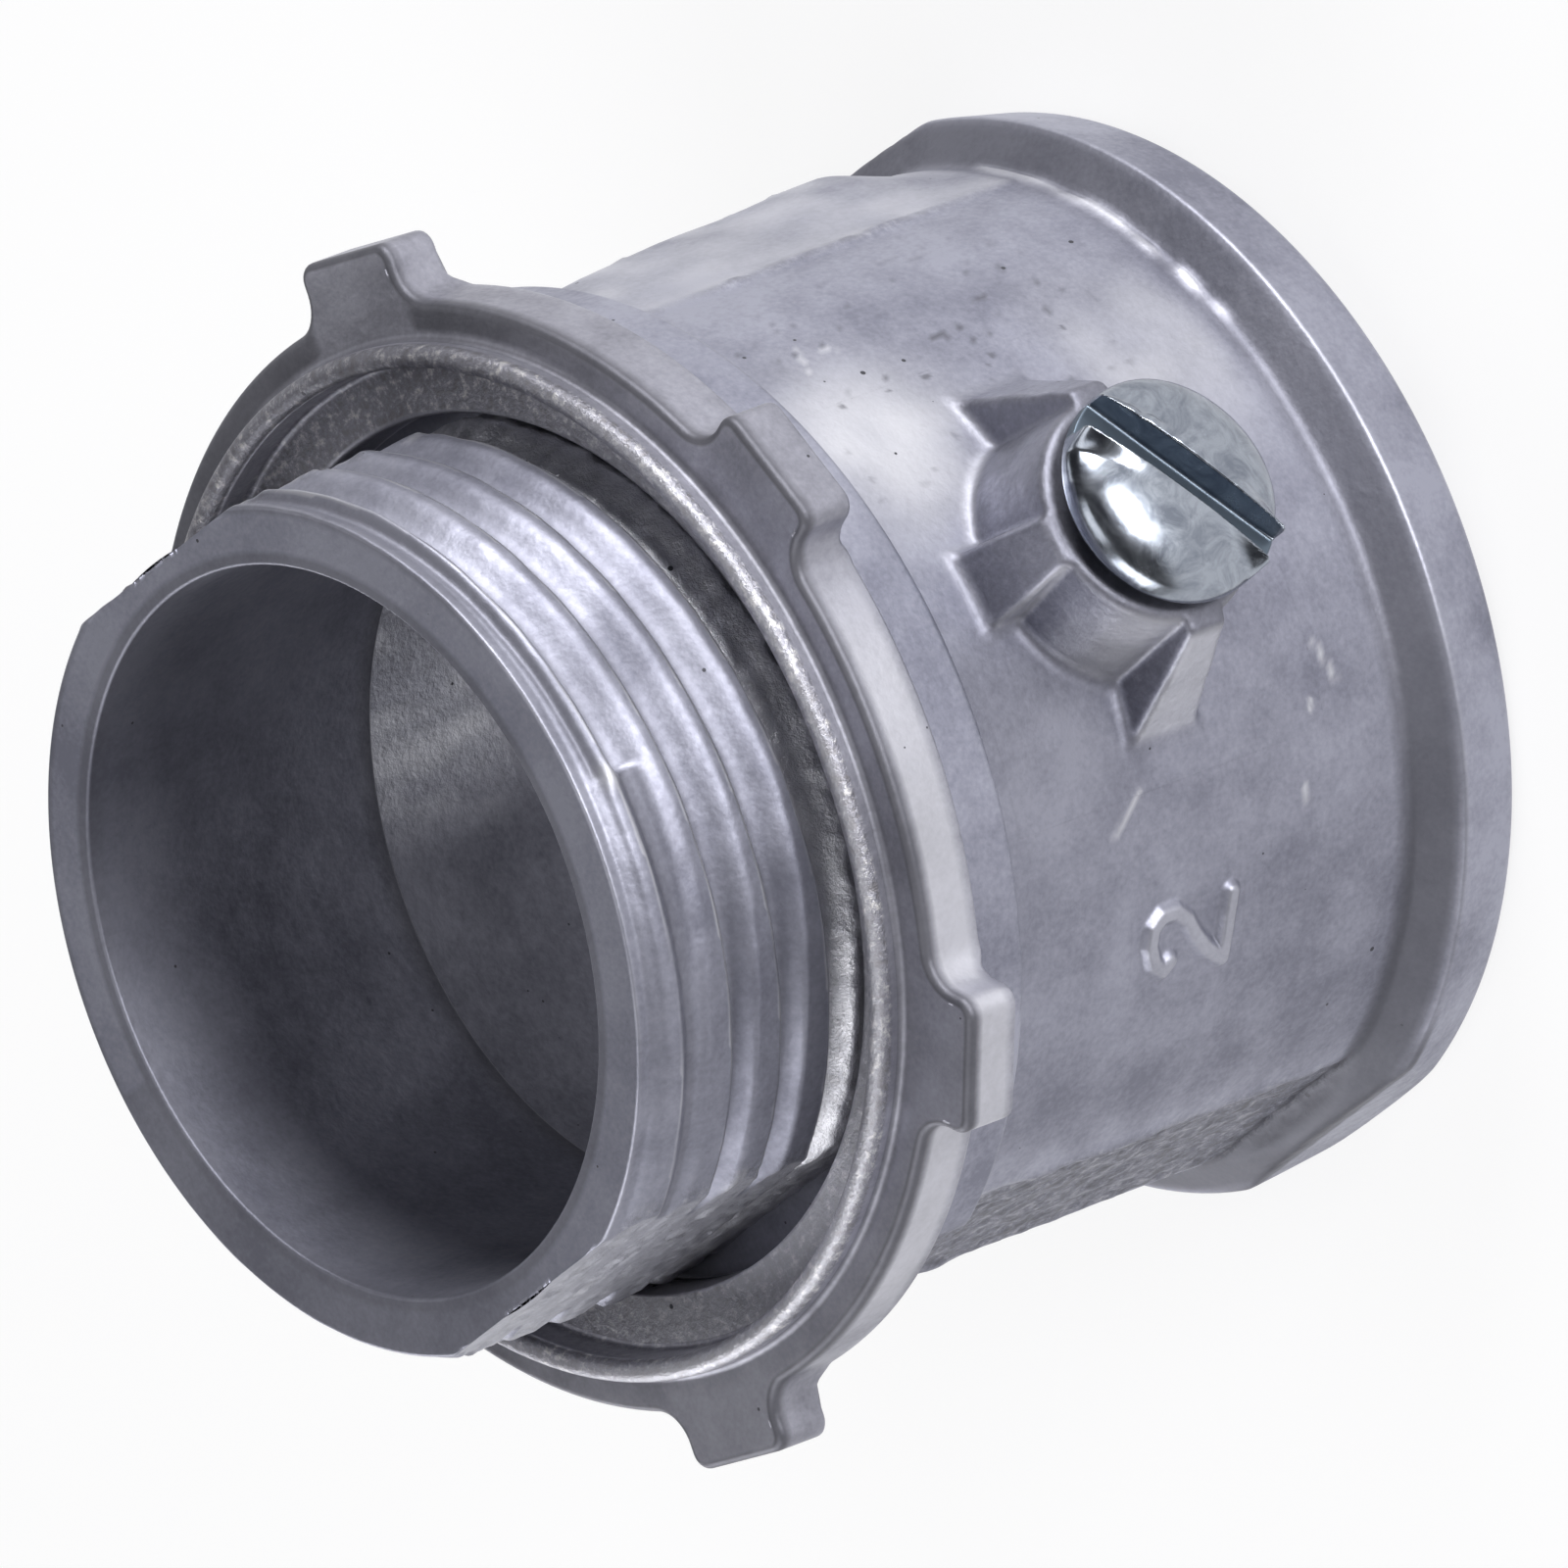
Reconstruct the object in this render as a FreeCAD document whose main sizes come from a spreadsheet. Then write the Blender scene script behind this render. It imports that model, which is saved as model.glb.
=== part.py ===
import FreeCAD, Part
import os
import re
import Sketcher

# Set screw connector for 1 in. rigid conduit: a die-cast body with a threaded nose, its locknut and its set screw.
# The connector stands on its conduit mouth. +Z runs up to the nose and +X points out through the set screw.
# The origin is on the centre line, in the plane of the mouth. All lengths are in millimetres.

doc = FreeCAD.newDocument("ConduitConnector")

# Driving sizes
SIZES = [
    ("conduit_radius", 16.7, "outside radius of the conduit that the socket takes"),
    ("socket_clearance", 0.2, "radial play of the conduit in the socket"),
    ("socket_depth", 26.0, "mouth to the stop that the conduit's end meets"),
    ("mouth_chamfer", 0.4, "lead-in at the mouth"),
    ("barrel_wall", 2.15, "wall of the barrel round the socket"),
    ("nose_wall", 2.7, "wall between the thread's crest and the wireway through the nose"),
    ("throat_lip", 0.5, "eased edge where wires leave the nose"),
    ("stop_wall", 1.5, "metal between the socket's stop and the shoulder"),
    ("thread_radius", 16.6, "crest radius of the nose thread"),
    ("thread_length", 12.5, "shoulder to the tip of the nose"),
    ("thread_pitch", 2.4, "axial distance from turn to turn of the nose thread"),
    ("thread_depth", 0.7, "crest to root of the thread"),
    ("thread_crest", 0.5, "flat left at the crest of the thread"),
    ("thread_root", 0.5, "flat at the root of the thread"),
    ("thread_start", 2.7, "shoulder to the middle of the first groove of the thread"),
    ("nose_lead_width", 0.55, "radial size of the lead-in on the nose tip"),
    ("nose_lead_height", 0.6, "axial size of the lead-in on the nose tip"),
    ("collar_step", 1.2, "how far the shoulder stands out from the barrel"),
    ("collar_width", 2.8, "axial width of the shoulder"),
    ("collar_edge", 0.25, "eased edges of the shoulder"),
    ("flange_step", 1.55, "how far the mouth flange stands out from the barrel"),
    ("ridge_height", 3.1, "mouth to the ridge of the flange"),
    ("flange_slope", 1.4, "ridge of the flange to the foot of its front face"),
    ("rim_taper", 0.65, "how much the rim narrows from the ridge to the mouth"),
    ("rim_round", 0.8, "rounded outer edge at the mouth"),
    ("nose_shear", 1.44, "depth of the nose flats below the thread crest"),
    ("collar_shear", 0.9, "depth of the trimmed flats below the shoulder"),
    ("barrel_shear", 0.7, "depth of the trimmed parting strips below the barrel"),
    ("flange_gap", 4.6, "flange to the near end of the ribs that run along the barrel"),
    ("collar_gap", 2.2, "shoulder's rear face to the other end of those ribs"),
    ("boss_radius", 4.5, "outside of the screw boss at its top"),
    ("boss_rise", 4.15, "how far the boss stands out from the barrel"),
    ("boss_draft", 7.0, "casting draft of the boss, in degrees"),
    ("boss_skin", 0.35, "metal between the root of the boss and the socket"),
    ("boss_edge", 0.25, "eased edge of the boss top"),
    ("rib_width", 2.4, "thickness of the four ribs of the boss"),
    ("side_rib_reach", 7.5, "boss centre to the foot of the ribs that run round the barrel"),
    ("long_rib_rise", 1.8, "height of the long ribs at their outer end"),
    ("rib_drop", 0.3, "how far the ribs stay below the boss top"),
    ("rib_shoulder", 4.5, "boss centre to where the ribs start to fall away"),
    ("rib_edge", 0.35, "rounded edges of the ribs"),
    ("screw_radius", 2.41, "set screw over its thread"),
    ("screw_clearance", 0.06, "radial play of the set screw in its hole"),
    ("tip_setback", 0.15, "screw tip to the socket wall, as supplied"),
    ("tip_chamfer", 0.5, "chamfer of the screw tip"),
    ("head_gap", 0.8, "boss top to the underside of the screw head"),
    ("head_radius", 4.36, "outside of the screw head"),
    ("head_height", 2.3, "height of the screw head"),
    ("head_side", 1.7, "straight side of the screw head below its crown"),
    ("slot_width", 1.5, "driver slot"),
    ("slot_depth", 1.4, "driver slot, from the top of the head"),
    ("slot_angle", 34.0, "turn of the slot from the horizontal, in degrees"),
    ("nut_clearance", 0.08, "radial play of the locknut over the thread crest"),
    ("recess_width", 2.17, "bore of the locknut to the inside of its bead"),
    ("nut_height", 2.75, "shoulder to the locknut's front face"),
    ("nut_seat", 0.04, "gap between the locknut and the shoulder"),
    ("recess_depth", 0.75, "front face to the floor of the locknut's recess"),
    ("bead_width", 0.9, "radial width of the bead"),
    ("bead_height", 1.15, "how far the bead stands out from the front face"),
    ("bead_crown", 0.35, "flat left between the eased edges of the bead"),
    ("nut_land", 1.35, "front face of the ring outside the bead"),
    ("nut_edge", 0.3, "eased front edge of the ring and its lugs"),
    ("lug_reach", 2.15, "how far the lugs stand out from the ring"),
    ("lug_width", 5.4, "width of a lug"),
    ("lug_relief", 0.35, "how far the lugs stay clear of the shoulder"),
    ("lug_corner", 0.7, "rounded corners of a lug"),
    ("lug_count", 6, "lugs round the locknut"),
    ("lug_turn", 16.0, "turn of the first lug from the set screw, in degrees"),
]

# Sizes that follow from the driving ones
DERIVED = [
    ("socket_radius", "conduit_radius + socket_clearance"),
    ("barrel_radius", "socket_radius + barrel_wall"),
    ("collar_radius", "barrel_radius + collar_step"),
    ("flange_radius", "barrel_radius + flange_step"),
    ("flange_width", "ridge_height + flange_slope"),
    ("shoulder_height", "socket_depth + stop_wall"),
    ("body_length", "shoulder_height + thread_length"),
    ("throat_radius", "thread_radius - nose_wall"),
    ("thread_over", "thread_depth * thread_crest / (2 * (thread_pitch - thread_crest - thread_root))"),
    ("nose_flat", "thread_radius - nose_shear"),
    ("collar_flat", "collar_radius - collar_shear"),
    ("barrel_flat", "barrel_radius - barrel_shear"),
    ("rib_low", "flange_width + flange_gap"),
    ("rib_high", "shoulder_height - collar_width - collar_gap"),
    ("boss_height", "(rib_low + rib_high) / 2"),
    ("boss_top", "barrel_radius + boss_rise"),
    ("root_plane", "socket_radius + boss_skin"),
    ("screw_hole_radius", "screw_radius + screw_clearance"),
    ("head_base", "boss_top + head_gap"),
    ("screw_tip", "socket_radius + tip_setback"),
    ("nut_bore_radius", "thread_radius + nut_clearance"),
    ("nut_base", "shoulder_height + nut_seat"),
    ("nut_front", "shoulder_height + nut_height"),
    ("bead_radius", "nut_bore_radius + recess_width"),
    ("nut_radius", "bead_radius + bead_width + nut_land"),
    ("lug_radius", "nut_radius + lug_reach"),
    ("dome_height", "head_height - head_side"),
    ("dome_radius", "(head_radius * head_radius + dome_height * dome_height) / (2 * dome_height)"),
]

sheet = doc.addObject("Spreadsheet::Sheet", "Sizes")
for row, (name, value, note) in enumerate(SIZES, 1):
    sheet.set("A%d" % row, name)
    sheet.set("B%d" % row, str(value))
    sheet.setAlias("B%d" % row, name)
    sheet.set("C%d" % row, note)
for row, (name, formula) in enumerate(DERIVED, len(SIZES) + 1):
    sheet.set("A%d" % row, name)
    sheet.set("B%d" % row, "=" + formula)
    sheet.setAlias("B%d" % row, name)
doc.recompute()

WORDS = sorted([name for name, _, _ in SIZES] + [name for name, _ in DERIVED], key=len, reverse=True)


def bound(text):
    """Write a formula in size names as an expression on the sheet."""
    return re.sub(r"\b(%s)\b" % "|".join(WORDS), r"Sizes.\1", str(text))


def value_of(text):
    return float(sheet.evalExpression(bound(text)))


def plane_of(body, role):
    return [o for o in body.Origin.OriginFeatures if o.Role == role][0]


def new_sketch(body, name, role, offset="0"):
    """A sketch on one of the body's own planes, moved along the plane's normal by an offset."""
    sketch = body.newObject("Sketcher::SketchObject", name)
    sketch.AttachmentSupport = [(plane_of(body, role), "")]
    sketch.MapMode = "FlatFace"
    sketch.setExpression("AttachmentOffset.Base.z", bound(offset))
    return sketch


def pin_point(sketch, geometry, end, x, y):
    """Hold one point of a sketch at two formulas measured from the sketch's origin."""
    for kind, formula in (("DistanceX", x), ("DistanceY", y)):
        index = sketch.addConstraint(Sketcher.Constraint(kind, -1, 1, geometry, end, value_of(formula)))
        sketch.setExpression("Constraints[%d]" % index, bound(formula))


def closed_outline(sketch, points):
    """A closed outline of straight lines through points that are given as pairs of formulas."""
    places = [FreeCAD.Vector(value_of(x), value_of(y), 0) for x, y in points]
    count = len(points)
    lines = []
    for i in range(count):
        line = Part.LineSegment(places[i], places[(i + 1) % count])
        lines.append(sketch.addGeometry(line, False))
    for i in range(count):
        sketch.addConstraint(Sketcher.Constraint("Coincident", lines[i], 2, lines[(i + 1) % count], 1))
    for line, (x, y) in zip(lines, points):
        pin_point(sketch, line, 1, x, y)


def circle(sketch, x, y, radius):
    centre = FreeCAD.Vector(value_of(x), value_of(y), 0)
    ring = sketch.addGeometry(Part.Circle(centre, FreeCAD.Vector(0, 0, 1), value_of(radius)), False)
    pin_point(sketch, ring, 3, x, y)
    index = sketch.addConstraint(Sketcher.Constraint("Radius", ring, value_of(radius)))
    sketch.setExpression("Constraints[%d]" % index, bound(radius))


def revolve(body, name, sketch, axis_role):
    feature = body.newObject("PartDesign::Revolution", name)
    feature.Profile = sketch
    feature.ReferenceAxis = (plane_of(body, axis_role), [""])
    feature.Angle = 360.0
    doc.recompute()
    return feature


def pad(body, name, sketch, length, both_ways=False, reverse=False, draft=None):
    feature = body.newObject("PartDesign::Pad", name)
    feature.Profile = sketch
    feature.setExpression("Length", bound(length))
    feature.Reversed = reverse
    if both_ways:
        feature.SideType = "Symmetric"
    if draft:
        feature.setExpression("TaperAngle", bound(draft))
    doc.recompute()
    return feature


def pocket(body, name, sketch, length, reverse=False, both_ways=False):
    """Cut a sketch into the body and make sure that it removes metal."""
    before = body.Shape.Volume
    feature = body.newObject("PartDesign::Pocket", name)
    feature.Profile = sketch
    feature.setExpression("Length", bound(length))
    feature.Reversed = reverse
    if both_ways:
        feature.SideType = "Symmetric"
    doc.recompute()
    if body.Shape.Volume >= before:
        raise RuntimeError(name + " removes nothing")
    return feature


def dress(body, name, kind, edges, size):
    """Fillet or chamfer the edges of the body's tip that a test picks out."""
    tip = body.Tip
    chosen = ["Edge%d" % i for i, edge in enumerate(tip.Shape.Edges, 1) if edges(edge)]
    if not chosen:
        raise RuntimeError(name + " finds no edges")
    feature = body.newObject("PartDesign::" + kind, name)
    feature.Base = (tip, chosen)
    feature.setExpression("Radius" if kind == "Fillet" else "Size", bound(size))
    doc.recompute()
    return feature


def new_body(name):
    body = doc.addObject("PartDesign::Body", name)
    body.Label = name
    return body


def near(a, b, gap=0.02):
    return abs(a - b) < gap


def circle_of(edge):
    """The circle that an edge lies on, or None where it is any other curve."""
    try:
        curve = edge.Curve
    except TypeError:
        return None
    return curve if isinstance(curve, Part.Circle) else None


def ring_at(edge, radius, height):
    """True for an edge on a circle about the Z axis with this radius and height."""
    curve = circle_of(edge)
    if curve is None or not near(abs(curve.Axis.z), 1):
        return False
    return near(curve.Radius, radius) and near(curve.Center.z, height)


def outside(point, radius):
    """True where a point is at least this far from the Z axis."""
    return (point.x ** 2 + point.y ** 2) ** 0.5 > radius - 0.05


def upright(edge):
    """True for a straight edge that runs along Z."""
    ends = [vertex.Point for vertex in edge.Vertexes]
    return len(ends) == 2 and near(ends[0].x, ends[1].x) and near(ends[0].y, ends[1].y)


# Connector body: one zinc casting, turned about the Z axis from its half section
def connector_body():
    body = new_body("connector_body")
    section = new_sketch(body, "CastSection", "XZ_Plane")
    closed_outline(section, [
        ("socket_radius + mouth_chamfer", "0"),
        ("flange_radius - rim_taper", "0"),
        ("flange_radius", "ridge_height"),
        ("barrel_radius", "flange_width"),
        ("barrel_radius", "shoulder_height - collar_width"),
        ("collar_radius", "shoulder_height - collar_width"),
        ("collar_radius", "shoulder_height"),
        ("thread_radius", "shoulder_height"),
        ("thread_radius", "body_length - nose_lead_height"),
        ("thread_radius - nose_lead_width", "body_length"),
        ("throat_radius + throat_lip", "body_length"),
        ("throat_radius", "body_length - throat_lip"),
        ("throat_radius", "socket_depth"),
        ("socket_radius", "socket_depth"),
        ("socket_radius", "mouth_chamfer"),
    ])
    revolve(body, "Casting", section, "Z_Axis")

    trim_flats(body, "CollarTrim", "collar_flat", "0", "shoulder_height")
    trim_flats(body, "StripTrim", "barrel_flat", "flange_width", "shoulder_height - collar_width")
    trim_flats(body, "NoseTrim", "nose_flat", "shoulder_height", "body_length")

    rim = value_of("flange_radius - rim_taper")
    collar = value_of("collar_radius")
    collar_ends = [value_of("shoulder_height"), value_of("shoulder_height - collar_width")]
    dress(body, "RimRound", "Fillet", lambda edge: ring_at(edge, rim, 0), "rim_round")
    dress(body, "CollarEdge", "Chamfer",
          lambda edge: any(ring_at(edge, collar, end) for end in collar_ends), "collar_edge")
    screw_boss(body)
    nose_thread(body)
    return body


def trim_flats(body, name, distance, low, high):
    """Cut the two flats of the parting plane, at +Y and -Y, between two heights."""
    sketch = new_sketch(body, name + "Sketch", "XY_Plane", high)
    reach = "flange_radius + collar_radius"
    for side in ("", "-"):
        closed_outline(sketch, [
            ("-(%s)" % reach, side + distance),
            (reach, side + distance),
            (reach, "%s(%s)" % (side, reach)),
            ("-(%s)" % reach, "%s(%s)" % (side, reach)),
        ])
    pocket(body, name, sketch, "(%s) - (%s)" % (high, low))


# Screw boss: a drafted round pad with four ribs at right angles, rooted in the barrel wall
def screw_boss(body):
    plain_casting = body.Shape

    side_ribs = new_sketch(body, "SideRibSketch", "XY_Plane", "boss_height")
    closed_outline(side_ribs, [
        ("root_plane", "-side_rib_reach"),
        ("boss_top - rib_drop", "-rib_shoulder"),
        ("boss_top - rib_drop", "rib_shoulder"),
        ("root_plane", "side_rib_reach"),
    ])
    pad(body, "SideRibs", side_ribs, "rib_width", both_ways=True)

    long_ribs = new_sketch(body, "LongRibSketch", "XZ_Plane")
    closed_outline(long_ribs, [
        ("root_plane", "rib_low"),
        ("barrel_radius + long_rib_rise", "rib_low"),
        ("boss_top - rib_drop", "boss_height - rib_shoulder"),
        ("boss_top - rib_drop", "boss_height + rib_shoulder"),
        ("barrel_radius + long_rib_rise", "rib_high"),
        ("root_plane", "rib_high"),
    ])
    pad(body, "LongRibs", long_ribs, "rib_width", both_ways=True)

    def rib_edge(edge):
        clear = plain_casting.distToShape(Part.Vertex(edge.discretize(3)[1]))[0]
        return clear > value_of("rib_edge") / 2 and edge.Length > value_of("rib_edge")

    dress(body, "RibRound", "Fillet", rib_edge, "rib_edge")

    foot = new_sketch(body, "BossSketch", "YZ_Plane", "root_plane")
    circle(foot, "0", "boss_height", "boss_radius + (boss_top - root_plane) * tan(boss_draft * 1deg)")
    pad(body, "Boss", foot, "boss_top - root_plane", draft="-boss_draft")

    def top_edge(edge):
        curve = circle_of(edge)
        return curve is not None and near(curve.Center.x, value_of("boss_top")) and near(abs(curve.Axis.x), 1)

    dress(body, "BossEdge", "Chamfer", top_edge, "boss_edge")

    hole = new_sketch(body, "ScrewHoleSketch", "YZ_Plane", "boss_top")
    circle(hole, "0", "boss_height", "screw_hole_radius")
    pocket(body, "ScrewHole", hole, "boss_top - socket_radius + screw_hole_radius")


# Nose thread: a right-handed groove that runs out through the tip of the nose
def nose_thread(body):
    groove = new_sketch(body, "GrooveSketch", "XZ_Plane")
    middle = "shoulder_height + thread_start"
    closed_outline(groove, [
        ("thread_radius - thread_depth", middle + " - thread_root / 2"),
        ("thread_radius + thread_over", middle + " - (thread_pitch - thread_crest / 2) / 2"),
        ("thread_radius + thread_over", middle + " + (thread_pitch - thread_crest / 2) / 2"),
        ("thread_radius - thread_depth", middle + " + thread_root / 2"),
    ])
    before = body.Shape.Volume
    thread = body.newObject("PartDesign::SubtractiveHelix", "Thread")
    thread.Profile = groove
    thread.ReferenceAxis = (plane_of(body, "Z_Axis"), [""])
    thread.Mode = "pitch-height-angle"
    thread.setExpression("Pitch", bound("thread_pitch"))
    thread.setExpression("Height", bound("thread_length - thread_start + thread_pitch"))
    doc.recompute()
    if body.Shape.Volume >= before:
        raise RuntimeError("the thread removes nothing")


# Locknut: a die-cast ring with a beaded recess at its front and six lugs
def locknut():
    body = new_body("locknut")
    section = new_sketch(body, "NutSection", "XZ_Plane")
    closed_outline(section, [
        ("nut_bore_radius", "nut_base"),
        ("nut_radius", "nut_base"),
        ("nut_radius", "nut_front"),
        ("bead_radius + bead_width", "nut_front"),
        ("bead_radius + bead_width", "nut_front + bead_height"),
        ("bead_radius", "nut_front + bead_height"),
        ("bead_radius", "nut_front - recess_depth"),
        ("nut_bore_radius", "nut_front - recess_depth"),
    ])
    revolve(body, "Ring", section, "Z_Axis")

    lug = new_sketch(body, "LugSketch", "XY_Plane", "nut_front")
    closed_outline(lug, [
        ("nut_radius - nut_land", "-lug_width / 2"),
        ("lug_radius", "-lug_width / 2"),
        ("lug_radius", "lug_width / 2"),
        ("nut_radius - nut_land", "lug_width / 2"),
    ])
    lug.setExpression("AttachmentOffset.Rotation.Angle", bound("lug_turn * 1deg"))
    first_lug = pad(body, "Lug", lug, "nut_height - lug_relief", reverse=True)
    lugs = body.newObject("PartDesign::PolarPattern", "Lugs")
    lugs.Originals = [first_lug]
    lugs.Axis = (plane_of(body, "Z_Axis"), [""])
    lugs.Angle = 360.0
    lugs.setExpression("Occurrences", bound("lug_count"))
    body.Tip = lugs
    doc.recompute()

    ring = value_of("nut_radius")
    tip_radius = (value_of("lug_radius") ** 2 + (value_of("lug_width") / 2) ** 2) ** 0.5
    bead = value_of("bead_radius")
    bead_top = value_of("nut_front + bead_height")

    def corner_at(edge, radius):
        middle = edge.CenterOfMass
        return upright(edge) and near(FreeCAD.Vector(middle.x, middle.y, 0).Length, radius, 0.05)

    def bead_edge(edge):
        return ring_at(edge, bead, bead_top) or ring_at(edge, bead + value_of("bead_width"), bead_top)

    def front_edge(edge):
        front = value_of("nut_front")
        return all(near(v.Point.z, front) and outside(v.Point, ring) for v in edge.Vertexes)

    dress(body, "LugRoots", "Fillet", lambda edge: corner_at(edge, ring), "lug_reach - lug_corner")
    dress(body, "LugCorners", "Fillet", lambda edge: corner_at(edge, tip_radius), "lug_corner")
    dress(body, "BeadEdge", "Chamfer", bead_edge, "(bead_width - bead_crown) / 2")
    dress(body, "FrontEdge", "Chamfer", front_edge, "nut_edge")
    return body


# Set screw: a steel screw with a round slotted head, on the boss's centre line
def set_screw():
    body = new_body("set_screw")
    section = new_sketch(body, "ScrewSection", "XZ_Plane")
    section.setExpression("AttachmentOffset.Base.y", bound("boss_height"))
    outline = [
        ("head_base + head_side", "head_radius"),
        ("head_base", "head_radius"),
        ("head_base", "screw_radius"),
        ("screw_tip + tip_chamfer", "screw_radius"),
        ("screw_tip", "screw_radius - tip_chamfer"),
        ("screw_tip", "0"),
        ("head_base + head_height", "0"),
    ]
    places = [FreeCAD.Vector(value_of(x), value_of(y), 0) for x, y in outline]
    lines = [section.addGeometry(Part.LineSegment(a, b), False) for a, b in zip(places, places[1:])]
    for first, second in zip(lines, lines[1:]):
        section.addConstraint(Sketcher.Constraint("Coincident", first, 2, second, 1))
    for line, (x, y) in zip(lines, outline):
        pin_point(section, line, 1, x, y)
    pin_point(section, lines[-1], 2, *outline[-1])

    dome_radius = value_of("dome_radius")
    centre = FreeCAD.Vector(value_of("head_base + head_height") - dome_radius, 0, 0)
    spread = (places[0] - centre).getAngle(FreeCAD.Vector(1, 0, 0))
    ball = Part.Circle(centre, FreeCAD.Vector(0, 0, 1), dome_radius)
    dome = section.addGeometry(Part.ArcOfCircle(ball, 0, spread), False)
    section.addConstraint(Sketcher.Constraint("Coincident", dome, 1, lines[-1], 2))
    section.addConstraint(Sketcher.Constraint("Coincident", dome, 2, lines[0], 1))
    section.addConstraint(Sketcher.Constraint("PointOnObject", dome, 3, -1))

    turned = body.newObject("PartDesign::Revolution", "Screw")
    turned.Profile = section
    turned.ReferenceAxis = (section, ["H_Axis"])
    turned.Angle = 360.0
    doc.recompute()

    slot = new_sketch(body, "SlotSketch", "YZ_Plane", "head_base + head_height")
    slot.setExpression("AttachmentOffset.Base.y", bound("boss_height"))
    slot.setExpression("AttachmentOffset.Rotation.Angle", bound("slot_angle * 1deg"))
    closed_outline(slot, [
        ("-(head_radius + head_side)", "-slot_width / 2"),
        ("head_radius + head_side", "-slot_width / 2"),
        ("head_radius + head_side", "slot_width / 2"),
        ("-(head_radius + head_side)", "slot_width / 2"),
    ])
    pocket(body, "Slot", slot, "slot_depth")
    return body


def check_document():
    """Stop if any object of the document failed to rebuild."""
    for item in doc.Objects:
        if "Invalid" in item.State or "Error" in item.State:
            raise RuntimeError(item.Label + " did not rebuild")


def write_parts(bodies):
    os.makedirs("parts", exist_ok=True)
    for body in bodies:
        shape = body.Shape
        if shape.isNull() or not shape.isValid() or len(shape.Solids) != 1:
            raise RuntimeError(body.Label + " is not one sound solid")
        shape.exportStep("parts/%s.step" % body.Label)
        print("%s  %.1f mm3  %d faces" % (body.Label, shape.Volume, len(shape.Faces)))


parts = [connector_body(), locknut(), set_screw()]
doc.recompute()
check_document()
write_parts(parts)
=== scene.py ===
import math

import bpy
import numpy as np
from mathutils import Matrix, Vector


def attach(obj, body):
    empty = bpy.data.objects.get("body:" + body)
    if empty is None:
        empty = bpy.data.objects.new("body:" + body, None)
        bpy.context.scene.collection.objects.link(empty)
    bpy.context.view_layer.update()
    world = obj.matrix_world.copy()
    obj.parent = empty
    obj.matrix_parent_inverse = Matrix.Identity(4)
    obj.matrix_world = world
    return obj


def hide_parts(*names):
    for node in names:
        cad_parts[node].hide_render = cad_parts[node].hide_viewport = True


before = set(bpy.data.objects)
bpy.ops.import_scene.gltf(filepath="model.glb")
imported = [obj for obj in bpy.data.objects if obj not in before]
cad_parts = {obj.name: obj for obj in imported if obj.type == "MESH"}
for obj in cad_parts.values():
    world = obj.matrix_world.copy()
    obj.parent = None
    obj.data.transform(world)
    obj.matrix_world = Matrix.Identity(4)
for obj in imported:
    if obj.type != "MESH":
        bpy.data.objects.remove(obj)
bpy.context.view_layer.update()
print("frame loaded")

# Shapes are worked out in millimetres and turned to metres in the mesh.
# The connector stands on its conduit mouth: +Z runs up to the nose, +X out through the set screw.
millimetre = 0.001


# Camera: a long lens, turned so that the nose points to the lower left of the picture
viewpoint = {
    "aim": (0.0102, -0.0025, 0.0266),
    "right": (0.5000, -0.4498, -0.7400),
    "up": (0.3867, 0.8809, -0.2740),
    "lensMm": 1554.0,
    "sensorMm": 36.0,
    "pictureWidth": 0.05714,  # metres across the picture at the aim
}


def placeCamera():
    right = Vector(viewpoint["right"]).normalized()
    back = right.cross(Vector(viewpoint["up"])).normalized()
    up = back.cross(right)
    distance = viewpoint["pictureWidth"] * viewpoint["lensMm"] / viewpoint["sensorMm"]
    lens = bpy.data.cameras.new("photoCamera")
    lens.lens = viewpoint["lensMm"]
    lens.sensor_width = viewpoint["sensorMm"]
    lens.clip_start = 0.01
    lens.clip_end = 20.0
    camera = bpy.data.objects.new("photoCamera", lens)
    bpy.context.scene.collection.objects.link(camera)
    turn = Matrix((right, up, back)).transposed().to_4x4()
    camera.matrix_world = Matrix.Translation(Vector(viewpoint["aim"]) + back * distance) @ turn
    bpy.context.scene.camera = camera


placeCamera()
print("camera placed")


# Materials
def linearColor(text):
    parts = [int(text[i:i + 2], 16) / 255 for i in (1, 3, 5)]
    return [c / 12.92 if c <= 0.04045 else ((c + 0.055) / 1.055) ** 2.4 for c in parts] + [1.0]


def addNode(tree, kind, settings=None, inputs=None, stops=None):
    node = tree.nodes.new(kind)
    for name, value in (settings or {}).items():
        setattr(node, name, value)
    for name, value in (inputs or {}).items():
        if isinstance(value, bpy.types.NodeSocket):
            tree.links.new(value, node.inputs[name])
        else:
            node.inputs[name].default_value = value
    for count, (place, color) in enumerate(stops or []):
        elements = node.color_ramp.elements
        element = elements[count] if count < len(elements) else elements.new(place)
        element.position = place
        element.color = linearColor(color)
    return node


def newMaterial(name):
    material = bpy.data.materials.new(name)
    material.use_nodes = True
    tree = material.node_tree
    tree.nodes.clear()
    output = tree.nodes.new("ShaderNodeOutputMaterial")
    shader = tree.nodes.new("ShaderNodeBsdfPrincipled")
    tree.links.new(shader.outputs[0], output.inputs["Surface"])
    return material, tree, shader


def perMetre(sizeMm):
    return 1000.0 / sizeMm


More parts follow.
